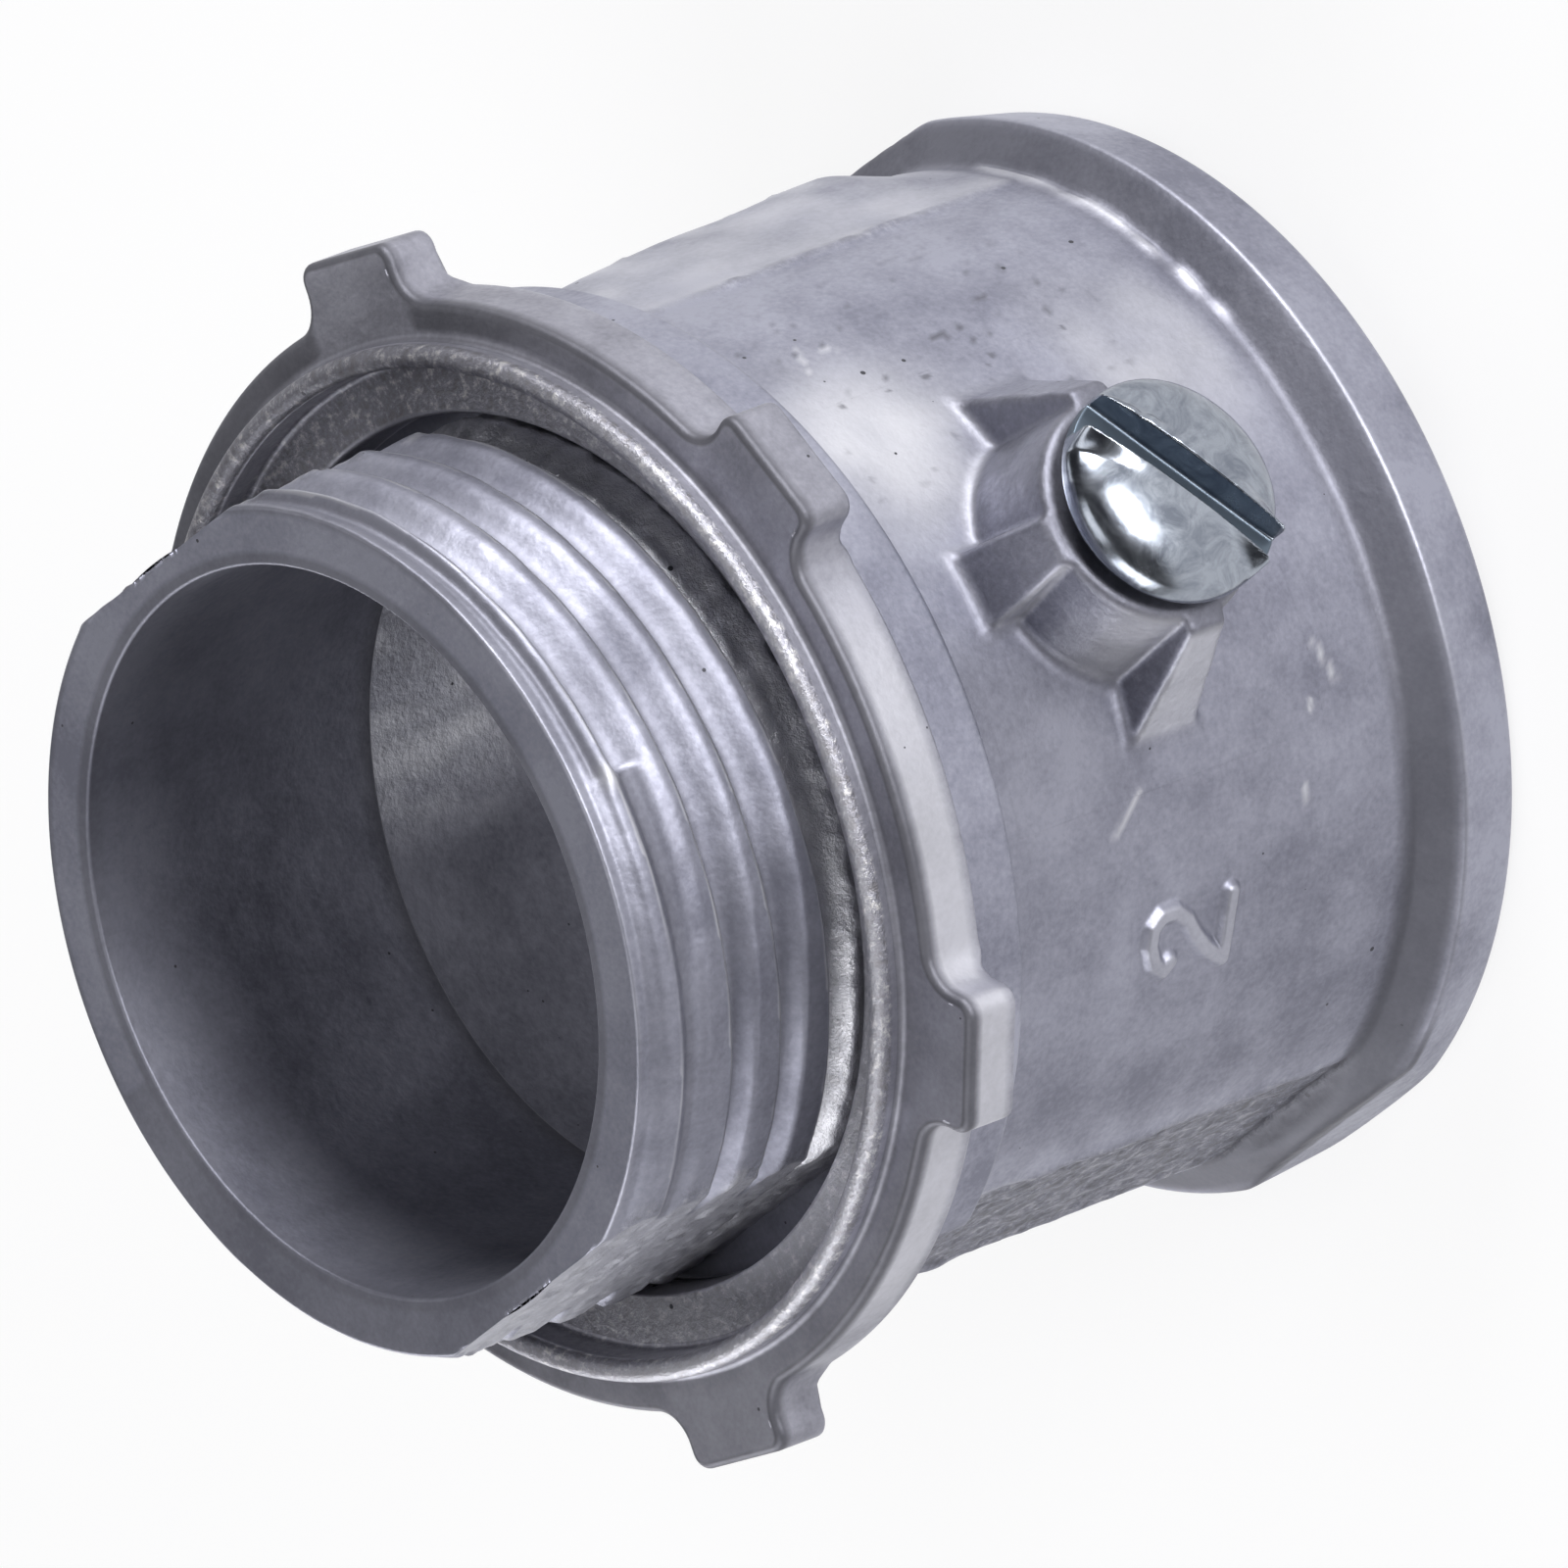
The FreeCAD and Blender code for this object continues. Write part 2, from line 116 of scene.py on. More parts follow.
# Die-cast zinc: poured into a steel die and left bare. The eye sees a soft bluish grey metal with a faint
# orange-peel skin, cloudy patches and small pits, and torn, sparkling metal where the flash was trimmed off.
castZincLook = {
    "pale": "#a0a1af",
    "deep": "#7b7c8a",
    "tornDeep": "#626269",
    "tornPale": "#adadb5",
    "bright": "#dedee4",
    "dark": "#4a4a50",
    "metallic": 0.9,
    "dullRoughness": 0.54,
    "paleRoughness": 0.44,
    "brightRoughness": 0.36,
    "darkRoughness": 0.62,
    "grainShare": 0.22,  # share of the fine grain in the colour, beside the clouds
    "cloudMm": 6.0,
    "grainMm": 0.25,  # the real grain is near 0.1 mm, and this is as coarse as it needs to show
    "grainDepthMm": 0.006,
    "skinMm": 0.9,
    "skinDepthMm": 0.035,
    "tornMm": 0.5,
    "tornDepthMm": 0.12,
    "pitMm": 1.5,
    "pitDepthMm": 0.04,
    "pitReach": 0.075,  # radius of the largest pit, as a share of the distance between pits
}


def makeCastZinc(name, look):
    material, tree, shader = newMaterial(name)
    place = addNode(tree, "ShaderNodeTexCoord").outputs["Object"]
    torn, bright, dark = (addNode(tree, "ShaderNodeAttribute", {"attribute_name": wear}).outputs["Fac"]
                          for wear in ("torn", "bright", "dark"))
    pattern = {}
    for kind, detail, roughness in (
            ("cloud", 5.0, 0.62), ("grain", 2.0, 0.6), ("torn", 5.0, 0.75), ("skin", 3.0, 0.55)):
        pattern[kind] = addNode(tree, "ShaderNodeTexNoise", None, {
            "Vector": place, "Scale": perMetre(look[kind + "Mm"]), "Detail": detail,
            "Roughness": roughness}).outputs["Fac"]

    # small pits: only the larger cells of the pattern show
    cells = addNode(tree, "ShaderNodeTexVoronoi", None, {"Vector": place, "Scale": perMetre(look["pitMm"])})
    size = addNode(tree, "ShaderNodeSeparateColor", None, {"Color": cells.outputs["Color"]}).outputs[0]
    reach = addNode(tree, "ShaderNodeMapRange", None, {
        "Value": size, "From Min": 0.55, "From Max": 1.0, "To Min": 0.0,
        "To Max": look["pitReach"]}).outputs[0]
    pits = addNode(tree, "ShaderNodeMath", {"operation": "LESS_THAN"}, {
        0: cells.outputs["Distance"], 1: reach}).outputs[0]

    # clouds and fine grain in the skin, and over them the torn metal, the places painted with highlight or
    # shade (some of them real scratches and dirt) and the pits
    mixed = addNode(tree, "ShaderNodeMix", {"data_type": "FLOAT"}, {
        "Factor": look["grainShare"], 2: pattern["cloud"], 3: pattern["grain"]}).outputs[0]
    color = addNode(tree, "ShaderNodeValToRGB", None, {"Fac": mixed}, [
        (0.37, look["deep"]), (0.61, look["pale"])]).outputs["Color"]
    tornColor = addNode(tree, "ShaderNodeValToRGB", None, {"Fac": pattern["torn"]}, [
        (0.38, look["tornDeep"]), (0.52, look["deep"]), (0.66, look["tornPale"])]).outputs["Color"]
    highlightAndWear, shadeAndDirt = linearColor(look["bright"]), linearColor(look["dark"])
    for share, over in ((torn, tornColor), (bright, highlightAndWear), (dark, shadeAndDirt), (pits, shadeAndDirt)):
        color = addNode(tree, "ShaderNodeMix", {"data_type": "RGBA"}, {
            "Factor": share, 6: color, 7: over}).outputs[2]
    tree.links.new(color, shader.inputs["Base Color"])

    # pale clouds are a little smoother than deep ones, places painted bright smoother still, and places
    # painted dark duller
    shader.inputs["Metallic"].default_value = look["metallic"]
    rough = addNode(tree, "ShaderNodeMapRange", None, {
        "Value": mixed, "From Min": 0.35, "From Max": 0.65, "To Min": look["dullRoughness"],
        "To Max": look["paleRoughness"]}).outputs[0]
    for share, over in ((bright, look["brightRoughness"]), (dark, look["darkRoughness"])):
        rough = addNode(tree, "ShaderNodeMix", {"data_type": "FLOAT"}, {
            "Factor": share, 2: rough, 3: over}).outputs[0]
    tree.links.new(rough, shader.inputs["Roughness"])

    # orange-peel skin, grain, torn metal and sunken pits, one over the other
    normal = None
    for kind, height, strength in (
            ("skin", pattern["skin"], 1.0), ("grain", pattern["grain"], 1.0), ("torn", pattern["torn"], torn),
            ("pit", pits, 1.0)):
        relief = {"Height": height, "Strength": strength, "Distance": look[kind + "DepthMm"] * millimetre}
        if normal:
            relief["Normal"] = normal
        normal = addNode(tree, "ShaderNodeBump", {"invert": kind == "pit"}, relief).outputs[0]
    tree.links.new(normal, shader.inputs["Normal"])
    return material


# Bright zinc plate on a cold-headed steel screw: a bluish mirror with faint swirls and a soft haze.
platedSteelLook = {
    "plate": "#a3a9b3",
    "worn": "#7f8591",
    "paintedShade": "#626d79",
    "metallic": 1.0,
    "clearRoughness": 0.19,
    "hazyRoughness": 0.28,
    "darkRoughness": 0.42,
    "swirlMm": 1.6,
    "swirlDepthMm": 0.02,
}


def makePlatedSteel(look):
    material, tree, shader = newMaterial("zincPlatedSteel")
    place = addNode(tree, "ShaderNodeTexCoord").outputs["Object"]
    dark = addNode(tree, "ShaderNodeAttribute", {"attribute_name": "dark"}).outputs["Fac"]
    swirl = addNode(tree, "ShaderNodeTexNoise", None, {
        "Vector": place, "Scale": perMetre(look["swirlMm"]), "Detail": 6.0, "Roughness": 0.7,
        "Distortion": 1.5}).outputs["Fac"]
    plate = addNode(tree, "ShaderNodeValToRGB", None, {"Fac": swirl}, [
        (0.35, look["worn"]), (0.6, look["plate"])])
    # places marked dark take a painted shade and a duller finish
    color = addNode(tree, "ShaderNodeMix", {"data_type": "RGBA"}, {
        "Factor": dark, 6: plate.outputs["Color"], 7: linearColor(look["paintedShade"])})
    tree.links.new(color.outputs[2], shader.inputs["Base Color"])
    shader.inputs["Metallic"].default_value = look["metallic"]
    rough = addNode(tree, "ShaderNodeMapRange", None, {
        "Value": swirl, "From Min": 0.35, "From Max": 0.7, "To Min": look["clearRoughness"],
        "To Max": look["hazyRoughness"]}).outputs[0]
    rough = addNode(tree, "ShaderNodeMix", {"data_type": "FLOAT"}, {
        "Factor": dark, 2: rough, 3: look["darkRoughness"]}).outputs[0]
    tree.links.new(rough, shader.inputs["Roughness"])
    bump = addNode(tree, "ShaderNodeBump", None, {
        "Height": swirl, "Strength": 0.3, "Distance": look["swirlDepthMm"] * millimetre})
    tree.links.new(bump.outputs[0], shader.inputs["Normal"])
    return material


# The locknut is cast in the same zinc, a little paler and warmer where its bead and bore are torn.
locknutLook = dict(
    castZincLook, pale="#a8a8b3", deep="#84848e", tornDeep="#716e70", tornPale="#d2cfcd", cloudMm=5.0)
castZinc = makeCastZinc("dieCastZinc", castZincLook)
locknutZinc = makeCastZinc("dieCastZincLocknut", locknutLook)
platedSteel = makePlatedSteel(platedSteelLook)
print("materials made")


# a smooth mesh from points in millimetres, with a value from 0 to 1 at each point for every named attribute
def makeMesh(name, points, faces, material, attributes=None, normals=None):
    mesh = bpy.data.meshes.new(name)
    mesh.from_pydata((np.asarray(points) * millimetre).tolist(), [], np.asarray(faces).tolist())
    mesh.polygons.foreach_set("use_smooth", np.ones(len(mesh.polygons), bool))
    for key, values in (attributes or {}).items():
        layer = mesh.attributes.new(key, "FLOAT", "POINT")
        layer.data.foreach_set("value", np.clip(np.asarray(values, float).ravel(), 0, 1).astype(np.float32))
    mesh.update()
    if normals is not None:
        mesh.normals_split_custom_set_from_vertices(np.asarray(normals).tolist())
    mesh.materials.append(material)
    piece = bpy.data.objects.new(name, mesh)
    bpy.context.scene.collection.objects.link(piece)
    return piece


# quads of a grid of rows, whose columns close into a ring unless the grid is open
def gridFaces(rowCount, columnCount, closed=True):
    columns = np.arange(columnCount if closed else columnCount - 1)
    row, column = np.meshgrid(np.arange(rowCount - 1), columns, indexing="ij")
    following = (column + 1) % columnCount
    faces = np.stack([row * columnCount + column, row * columnCount + following,
                      (row + 1) * columnCount + following, (row + 1) * columnCount + column], -1)
    return faces.reshape(-1, 4)


def smoothStep(low, high, value):
    t = np.clip((value - low) / (high - low), 0, 1)
    return t * t * (3 - 2 * t)


# the smaller or larger of two distances, with a rounded change from one to the other
def softMin(a, b, width):
    blend = np.clip(0.5 + 0.5 * (b - a) / width, 0, 1)
    return b * (1 - blend) + a * blend - width * blend * (1 - blend)


def softMax(a, b, width):
    return -softMin(-a, -b, width)


# smooth noise from -1 to 1 with bumps of about this size in millimetres
def valueNoise(points, size, seed):
    cell = np.asarray(points) / size
    base = np.floor(cell).astype(np.int64)
    part = cell - base
    part = part * part * (3 - 2 * part)
    total = np.zeros(cell.shape[:-1])
    for corner in np.ndindex(2, 2, 2):
        key = base + np.array(corner)
        mixed = key[..., 0] * 73856093 ^ key[..., 1] * 19349663 ^ key[..., 2] * 83492791 ^ seed * 2654435761
        mixed = (mixed ^ (mixed >> 13)) * 1274126177 & 0x7FFFFFFF
        mixed = (mixed ^ (mixed >> 16)) & 0xFFFF
        weight = np.prod(np.where(np.array(corner) == 1, part, 1 - part), -1)
        total += weight * (mixed / 32767.5 - 1)
    return total


# points along a line of corners (radius, height, rounding), no further apart than the spacing there
def roundedPath(corners, spacing):
    corners = [(np.array(c[:2], float), c[2]) for c in corners]
    path = [corners[0][0]]
    for (before, _), (here, rounding), (after, _) in zip(corners, corners[1:], corners[2:]):
        if rounding <= 0:
            path.append(here)
            continue
        first = (before - here) / np.linalg.norm(before - here)
        second = (after - here) / np.linalg.norm(after - here)
        halfTurn = math.acos(np.clip(np.dot(first, second), -1, 1)) / 2
        cut = rounding / math.tan(halfTurn)
        centre = here + (first + second) / np.linalg.norm(first + second) * rounding / math.sin(halfTurn)
        start, end = here + first * cut - centre, here + second * cut - centre
        turn = math.acos(np.clip(np.dot(start, end) / rounding ** 2, -1, 1))
        steps = max(3, int(math.degrees(turn) / 12))
        for i in range(steps + 1):
            t = i / steps
            swept = start * math.sin((1 - t) * turn) + end * math.sin(t * turn)
            path.append(centre + swept / math.sin(turn))
    path.append(corners[-1][0])
    dense = [path[0]]
    for a, b in zip(path, path[1:]):
        length = np.linalg.norm(b - a)
        if length < 1e-6:
            continue
        gap = spacing((a[1] + b[1]) / 2, (a[0] + b[0]) / 2)
        count = max(1, int(math.ceil(length / gap)))
        dense += [a + (b - a) * i / count for i in range(1, count + 1)]
    return np.array(dense)


# angles round a ring, in radians: zones are (from, to, step) in degrees
def spreadAngles(zones):
    angles = []
    for low, high, step in zones:
        count = max(1, int(round((high - low) / step)))
        angles += [low + (high - low) * i / count for i in range(count)]
    return np.radians(np.array(angles))


# Barrel: the outside from the shoulder down to the mouth, and the socket inside
barrelSizes = {
    "socket": 16.9, "barrel": 19.05, "collar": 20.25, "ridge": 20.6, "rim": 19.95,
    "shoulder": 27.5, "collarRear": 24.7, "flangeFoot": 4.5, "ridgeHeight": 3.1,
    "stop": 26.0, "stripFlat": 18.35, "trimFlat": 19.35, "rimFlat": 19.75,
    "shoulderIn": 15.0,  # the shoulder's face runs in under the nose to this radius
    "screwHole": 2.47, "screwHeight": 15.8,
    "seams": (54, -75, 119, -105), "seamRise": 0.16,  # angles of the ragged ridges beside the trimmed strips
    "raisedStrip": (54, 84),  # angles between which the upper strip stands proud
    "flashRise": 0.15, "flashAngles": (20, 61),  # the ragged line along the foot of the flange
    "glareHeight": 21.5, "glareAngle": 20, "glareRise": 3.4, "glareSpread": 11,  # where the barrel's glare is painted on as a highlight
    "meshZones": [(-180, -110, 1.4), (-110, -70, 0.7), (-70, 70, 0.8), (70, 110, 0.7), (110, 180, 1.4)],
    "nicks": [  # scratches from height and angle to height and angle
        (18.9, -31, 17.4, -27), (8.8, -25, 8.7, -24), (7.9, -18, 7.3, -23), (21.4, 33, 20.9, 37),
        (20.2, 36, 19.4, 35), (12.3, -9, 11.9, -12), (9.6, -33, 9.5, -35)],
}


# how much painted highlight and bright scratching a spot of the barrel has, and how much painted shade and
# dark specks, both from 0 to 1
def barrelLightAndWear(spot):
    s = barrelSizes
    height = spot[..., 2]
    degrees = np.degrees(np.arctan2(spot[..., 1], spot[..., 0]))
    # painted highlight where the glare falls on the barrel, and a weaker one lower down
    near = 0.95 * np.exp(-((height - s["glareHeight"]) / s["glareRise"]) ** 2)
    near = near + 0.4 * smoothStep(13, 10, height) * smoothStep(4.8, 6.5, height)
    bright = near * np.exp(-((degrees - s["glareAngle"]) / s["glareSpread"]) ** 2)
    bright = bright * (0.85 + 0.35 * valueNoise(spot, 1.8, 44))
    for h1, a1, h2, a2 in s["nicks"]:
        across, run, rise = (degrees - a1) / 3.0, (a2 - a1) / 3.0, h2 - h1
        t = np.clip((across * run + (height - h1) * rise) / (run * run + rise * rise), 0, 1)
        squaredGap = (across - t * run) ** 2 + (height - h1 - t * rise) ** 2
        bright = np.maximum(bright, 0.6 * np.exp(-squaredGap / 0.012))

    # painted shade: thin on the lower half and thicker beside the boss; and dark specks on the upper half
    dark = 0.12 * smoothStep(8, -14, degrees) * smoothStep(-80, -62, degrees)
    dark = dark + 0.25 * np.exp(-((degrees + 14) / 15) ** 2) * smoothStep(15, 21, height)
    speck = smoothStep(0.55, 0.8, valueNoise(spot, 0.45, 51)) * np.exp(-((degrees - 30) / 15) ** 2)
    dark = np.maximum(dark, 0.7 * speck * smoothStep(7, 11, height))
    return np.clip(bright, 0, 1), dark


# how far the trimmed flats of the parting plane lie from the centre line at this height
def barrelFlat(height):
    s = barrelSizes
    strip = smoothStep(s["flangeFoot"] - 0.5, s["flangeFoot"] + 0.1, height) * smoothStep(
        s["collarRear"] + 0.05, s["collarRear"] - 0.15, height)
    rim = smoothStep(s["flangeFoot"] + 0.1, s["flangeFoot"] - 0.5, height)
    return s["trimFlat"] + (s["stripFlat"] - s["trimFlat"]) * strip + (s["rimFlat"] - s["trimFlat"]) * rim


# opens the wall for the set screw: points of the faces that its edge crosses move out onto the edge
def openScrewHole(points, faces):
    s = barrelSizes
    rise = points[:, 2] - s["screwHeight"]
    gap = np.hypot(points[:, 1], rise)
    inside = (gap < s["screwHole"]) & (points[:, 0] > 0)
    faces = faces[~inside[faces].all(1)]
    used = np.zeros(len(points), bool)
    used[faces] = True
    moved = inside & used
    grow = s["screwHole"] / gap[moved]
    out = np.hypot(points[moved, 0], points[moved, 1])
    points[moved, 1] *= grow
    points[moved, 2] = s["screwHeight"] + rise[moved] * grow
    points[moved, 0] = np.sqrt(out ** 2 - points[moved, 1] ** 2)
    return points[used], (np.cumsum(used) - 1)[faces], used


def makeBarrel():
    s = barrelSizes
    outline = [
        (s["shoulderIn"], s["shoulder"], 0), (s["collar"], s["shoulder"], 0.35),
        (s["collar"], s["collarRear"], 0.35), (s["barrel"], s["collarRear"], 0.35),
        (s["barrel"], s["flangeFoot"], 0.6),
        (s["ridge"], s["ridgeHeight"], 0.25), (s["rim"], 0.0, 0.8), (s["socket"] + 0.4, 0.0, 0.15),
        (s["socket"], 0.4, 0.1), (s["socket"], s["stop"], 0),
    ]

    def spacing(height, radius):
        if radius < s["socket"] + 0.3:
            return 0.45
        return 0.27 if radius > s["socket"] + 1.5 else 0.5

    path = roundedPath(outline, spacing)
    inner = path[:, 0] < s["socket"] + 0.5
    angles = spreadAngles(s["meshZones"])
    height, angle = np.meshgrid(path[:, 1], angles, indexing="ij")
    radius = np.repeat(path[:, :1], len(angles), 1)
    flat = barrelFlat(height) / np.maximum(np.abs(np.sin(angle)), 1e-3)
    cut = softMin(radius, flat, 0.12)
    cut[inner] = radius[inner]
    torn = smoothStep(0.02, 0.16, radius - cut)
    spot = np.stack([radius * np.cos(angle), radius * np.sin(angle), height], -1)
    torn *= smoothStep(-0.9, -0.2, valueNoise(spot, 1.3, 3) + 0.6) * (
        0.25 + 0.75 * (height > s["flangeFoot"]))
    cut = cut + torn * (0.09 * valueNoise(spot, 0.8, 5) + 0.07 * valueNoise(spot, 0.4, 6))

    # low ragged ridges stand where the two halves of the die met, beside the trimmed strips
    degrees = np.degrees(angle)
    onBarrel = smoothStep(s["flangeFoot"] + 0.3, s["flangeFoot"] + 0.8, height) * smoothStep(
        s["collarRear"] - 0.2, s["collarRear"] - 0.5, height) * ~inner[:, None]
    seam = sum(np.exp(-((degrees - place) / 0.9) ** 2) for place in s["seams"])
    seam = seam * onBarrel * smoothStep(-0.6, 0.4, valueNoise(spot, 2.4, 41))
    cut = cut + seam * (s["seamRise"] + 0.10 * valueNoise(spot, 0.7, 42))
    torn = np.maximum(torn, 0.5 * seam)

    # the upper strip stands proud of the flat, highest at the middle of the barrel
    low, high = s["raisedStrip"]
    strip = smoothStep(low - 0.5, low + 0.5, degrees) * smoothStep(high + 4, high - 4, degrees) * onBarrel
    crest = 0.2 + 0.5 * smoothStep(24, 15, height) + 0.2 * smoothStep(13, 9.5, height)
    crest = smoothStep(low + 2, high - 7, degrees) * crest
    cut = cut + strip * (0.08 + crest * smoothStep(5.4, 8.6, height) + 0.03 * valueNoise(spot, 2.0, 45))

    # a ragged line of flash along the foot of the flange, near the upper parting strip
    low, high = s["flashAngles"]
    along = smoothStep(low - 6, low + 6, degrees) * smoothStep(high + 3, high - 3, degrees)
    line = np.exp(-((height - s["flangeFoot"] - 0.12 - 0.15 * valueNoise(spot, 1.1, 8)) / 0.16) ** 2)
    flash = along * line * smoothStep(-0.5, 0.3, valueNoise(spot, 1.4, 9))
    flash[inner] = 0
    cut = cut + s["flashRise"] * flash

    # the rim and ridge are rubbed bright by handling
    ridge = np.exp(-((height - s["ridgeHeight"]) / 0.12) ** 2) * (radius > s["barrel"] + 1.2)
    bright = np.maximum(0.6 * flash, 0.12 * ridge)
    bright = np.maximum(bright, strip * (0.25 + 0.2 * valueNoise(spot, 1.4, 46)))

    # painted shade in the corner of the flange, in the socket, on the torn strip of the lower side and in the
    # corner where that strip meets the flange
    cove = smoothStep(2.9, 3.5, height) * smoothStep(5.6, 4.4, height) * ~inner[:, None]
    dark = np.maximum((0.55 + 0.3 * smoothStep(0, -55, degrees)) * cove * (1 - flash), 0.45 * inner[:, None])
    dark = np.maximum(dark, 0.3 * torn * smoothStep(-68, -76, degrees) * ~inner[:, None])
    corner = smoothStep(-62, -72, degrees) * smoothStep(-118, -108, degrees)
    corner = corner * smoothStep(5.3, 4.9, height) * (height > 2.9)
    dark = np.maximum(dark, 0.7 * corner * ~inner[:, None])

    # a rough patch on the socket's wall shows through the throat, with light painted on it as a bright patch
    # and the socket's painted shade lifted there
    patch = smoothStep(120, 130, degrees % 360) * smoothStep(166, 152, degrees % 360) * inner[:, None]
    patch *= smoothStep(13.5, 18, height) * smoothStep(26, 23, height)
    streak = valueNoise(np.stack([spot[..., 0], spot[..., 1], height * 0.3], -1), 0.7, 24)
    torn = np.maximum(torn, 0.4 * patch)
    dark = dark * (1 - patch)

    # painted highlight of the glare between the screw and the locknut, with bright scratches, and painted
    # shade with dark specks
    highlightAndWear, shadeAndGrime = barrelLightAndWear(spot)
    bright = np.maximum(bright, highlightAndWear * onBarrel)
    dark = np.maximum(dark, shadeAndGrime * onBarrel)
    bright = np.maximum(bright, patch * (0.25 + 0.35 * smoothStep(-0.2, 0.7, streak)))
    points = np.stack([cut * np.cos(angle), cut * np.sin(angle), height], -1).reshape(-1, 3)
    points, faces, used = openScrewHole(points, gridFaces(len(path), len(angles)))
    piece = makeMesh("castBarrel", points, faces, castZinc,
                     {"torn": torn.ravel()[used], "bright": bright.ravel()[used], "dark": dark.ravel()[used]})
    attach(piece, "casting")
    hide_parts("connector_body")


makeBarrel()
print("barrel made")


# Nose: a right-handed thread that fades out at the tip and is cut away at two flats, and the throat inside
noseSizes = {
    "crest": 16.6, "relief": 0.72, "pitch": 2.4, "firstCrest": 31.4, "lastCrest": 38.5,
    "fadeAngle": -4.0, "chipRise": 0.12,  # where the last turn ends in a chip
    "grooveHeight": 39.05, "grooveDepth": 0.22,
    "carvedFrom": 15.9, "trimmedFrom": 15.3,  # the thread and the flats are cut only outside these radii
    "flat": 15.16, "tip": 40.0, "rim": 16.15, "leadFoot": 38.9, "leadTop": 39.5,
    "throat": 13.9, "socket": 16.9, "stop": 26.0, "shoulder": 27.5,
    "meshZones": [(-180, -112, 1.0), (-112, -58, 0.5), (-58, 58, 0.7), (58, 112, 0.5), (112, 180, 1.0)],
}


# height of the thread from 0 at the root to 1 at the crest: a gentle front flank and a steep rear one
def threadShape(turns, breadth=0.0):
    part = turns % 1.0
    front = smoothStep(0.74, 0.08 + breadth, part)
    rear = smoothStep(0.80, 0.965, part)
    return np.maximum(front, rear)


def makeNose():
    s = noseSizes
    outline = [
        (s["crest"], s["shoulder"] - 0.05, 0), (s["crest"], s["leadFoot"], 0.3),
        (s["rim"], s["leadTop"], 0.3), (s["rim"], s["tip"], 0.16),
        (s["throat"], s["tip"], 0.15), (s["throat"], s["stop"], 0.15), (s["socket"] + 0.05, s["stop"], 0),
    ]

    def spacing(height, radius):
        if radius > 16.0:
            return 0.1
        return 0.9 if radius < s["throat"] + 0.3 else 0.25

    path = roundedPath(outline, spacing)
    angles = spreadAngles(s["meshZones"])
    height, angle = np.meshgrid(path[:, 1], angles, indexing="ij")
    radius = np.repeat(path[:, :1], len(angles), 1)
    degrees = np.degrees(angle)
    spot = np.stack([radius * np.cos(angle), radius * np.sin(angle), height], -1)
    turns = (height - s["firstCrest"]) / s["pitch"] - degrees / 360.0
    climb = s["pitch"] * degrees / 360  # how far the thread has risen at this angle

    # the turns are broader and rounder towards the lower flat, and their crests are a little uneven
    breadth = 0.34 * smoothStep(-8, -48, degrees) * smoothStep(-150, -100, degrees)
    thread = threadShape(turns + 0.015 * valueNoise(spot, 2.5, 12), breadth)
    outside = (radius > s["carvedFrom"]) & (height > s["shoulder"] - 0.1) & (height < s["tip"] - 0.05)

    # the last turn ends at a small chip and fades; a soft groove parts it from the rim
    last = smoothStep(0.5, -0.2, degrees - s["fadeAngle"]) * smoothStep(-100, -60, degrees)
    tipFade = 1 - smoothStep(s["lastCrest"] - 2.0, s["lastCrest"] - 0.9, height) * 0.75 * last
    front = smoothStep(s["lastCrest"] + 0.25, s["lastCrest"] + 0.75, height - climb)
    groove = np.exp(-((height - s["grooveHeight"] - 0.25 * (degrees / 90)) / 0.28) ** 2)
    depth = s["relief"] * (1 - thread) * tipFade * (1 - front) + s["grooveDepth"] * groove * (1 - 0.6 * last)
    depth = depth + 0.03 * valueNoise(spot, 0.9, 14) * thread
    chip = np.exp(-((degrees - s["fadeAngle"]) / 1.6) ** 2 - ((height - s["lastCrest"] - 0.1) / 0.35) ** 2)
    depth = depth - s["chipRise"] * chip
    nearCrest = smoothStep(0.5, 0.95, thread)
    carved = np.where(outside, radius - np.maximum(depth, -0.1), radius)
    flat = s["flat"] / np.maximum(np.abs(np.sin(angle)), 1e-3)
    trimmed = np.where(radius > s["trimmedFrom"], softMin(radius, flat, 0.08), radius)
    cut = np.where(outside, softMin(carved, flat, 0.08), trimmed)
    torn = np.where(outside, smoothStep(0.02, 0.12, carved - cut), 0) * 0.3

    # crests smear over at the edges of the flats, and the root of the nose is rough inside the locknut
    nearFlat = np.where(outside, smoothStep(0.7, 0.0, flat - carved) * nearCrest, 0)
    cut = cut + nearFlat * 0.08 * valueNoise(spot, 0.5, 15) + torn * 0.05 * valueNoise(spot, 0.6, 16)
    rough = np.where(outside, smoothStep(s["firstCrest"] - 0.1, s["firstCrest"] - 0.5, height - climb), 0)
    cut = cut + rough * (0.07 * valueNoise(spot, 0.45, 21) - 0.05)
    onFlat = smoothStep(0.02, 0.12, carved - cut)

    # painted highlights: thin lines on the crests in broken stretches, a line round the rim, the chip, the
    # smeared crests at the flats, the rough root inside the locknut (brighter on the near side) and the flats
    # on one side
    crestLine = smoothStep(0.94, 1.0, thread) * smoothStep(0.90, 0.965, turns % 1.0) * outside
    worn = np.clip(0.55 + 0.75 * valueNoise(spot, 2.2, 18), 0, 1)
    bright = crestLine * worn * 0.6 * (cut > s["flat"]) * (1 - rough) * (1 - front)
    rimLine = np.exp(-((radius - s["rim"]) / 0.1) ** 2 - ((height - s["tip"]) / 0.12) ** 2)
    bright = np.maximum(bright, 0.25 * rimLine * worn)
    bright = np.maximum(bright, chip * 0.8)
    bright = np.maximum(bright, nearFlat * 0.5 * smoothStep(0.2, 0.8, valueNoise(spot, 0.9, 22)))
    near = smoothStep(75, 40, degrees) * smoothStep(-120, -90, degrees)
    bright = np.maximum(bright, rough * (0.3 + 0.4 * near + 0.3 * valueNoise(spot, 0.6, 23)))
    bright = np.maximum(bright, 0.3 * onFlat * (degrees < 0) * outside)
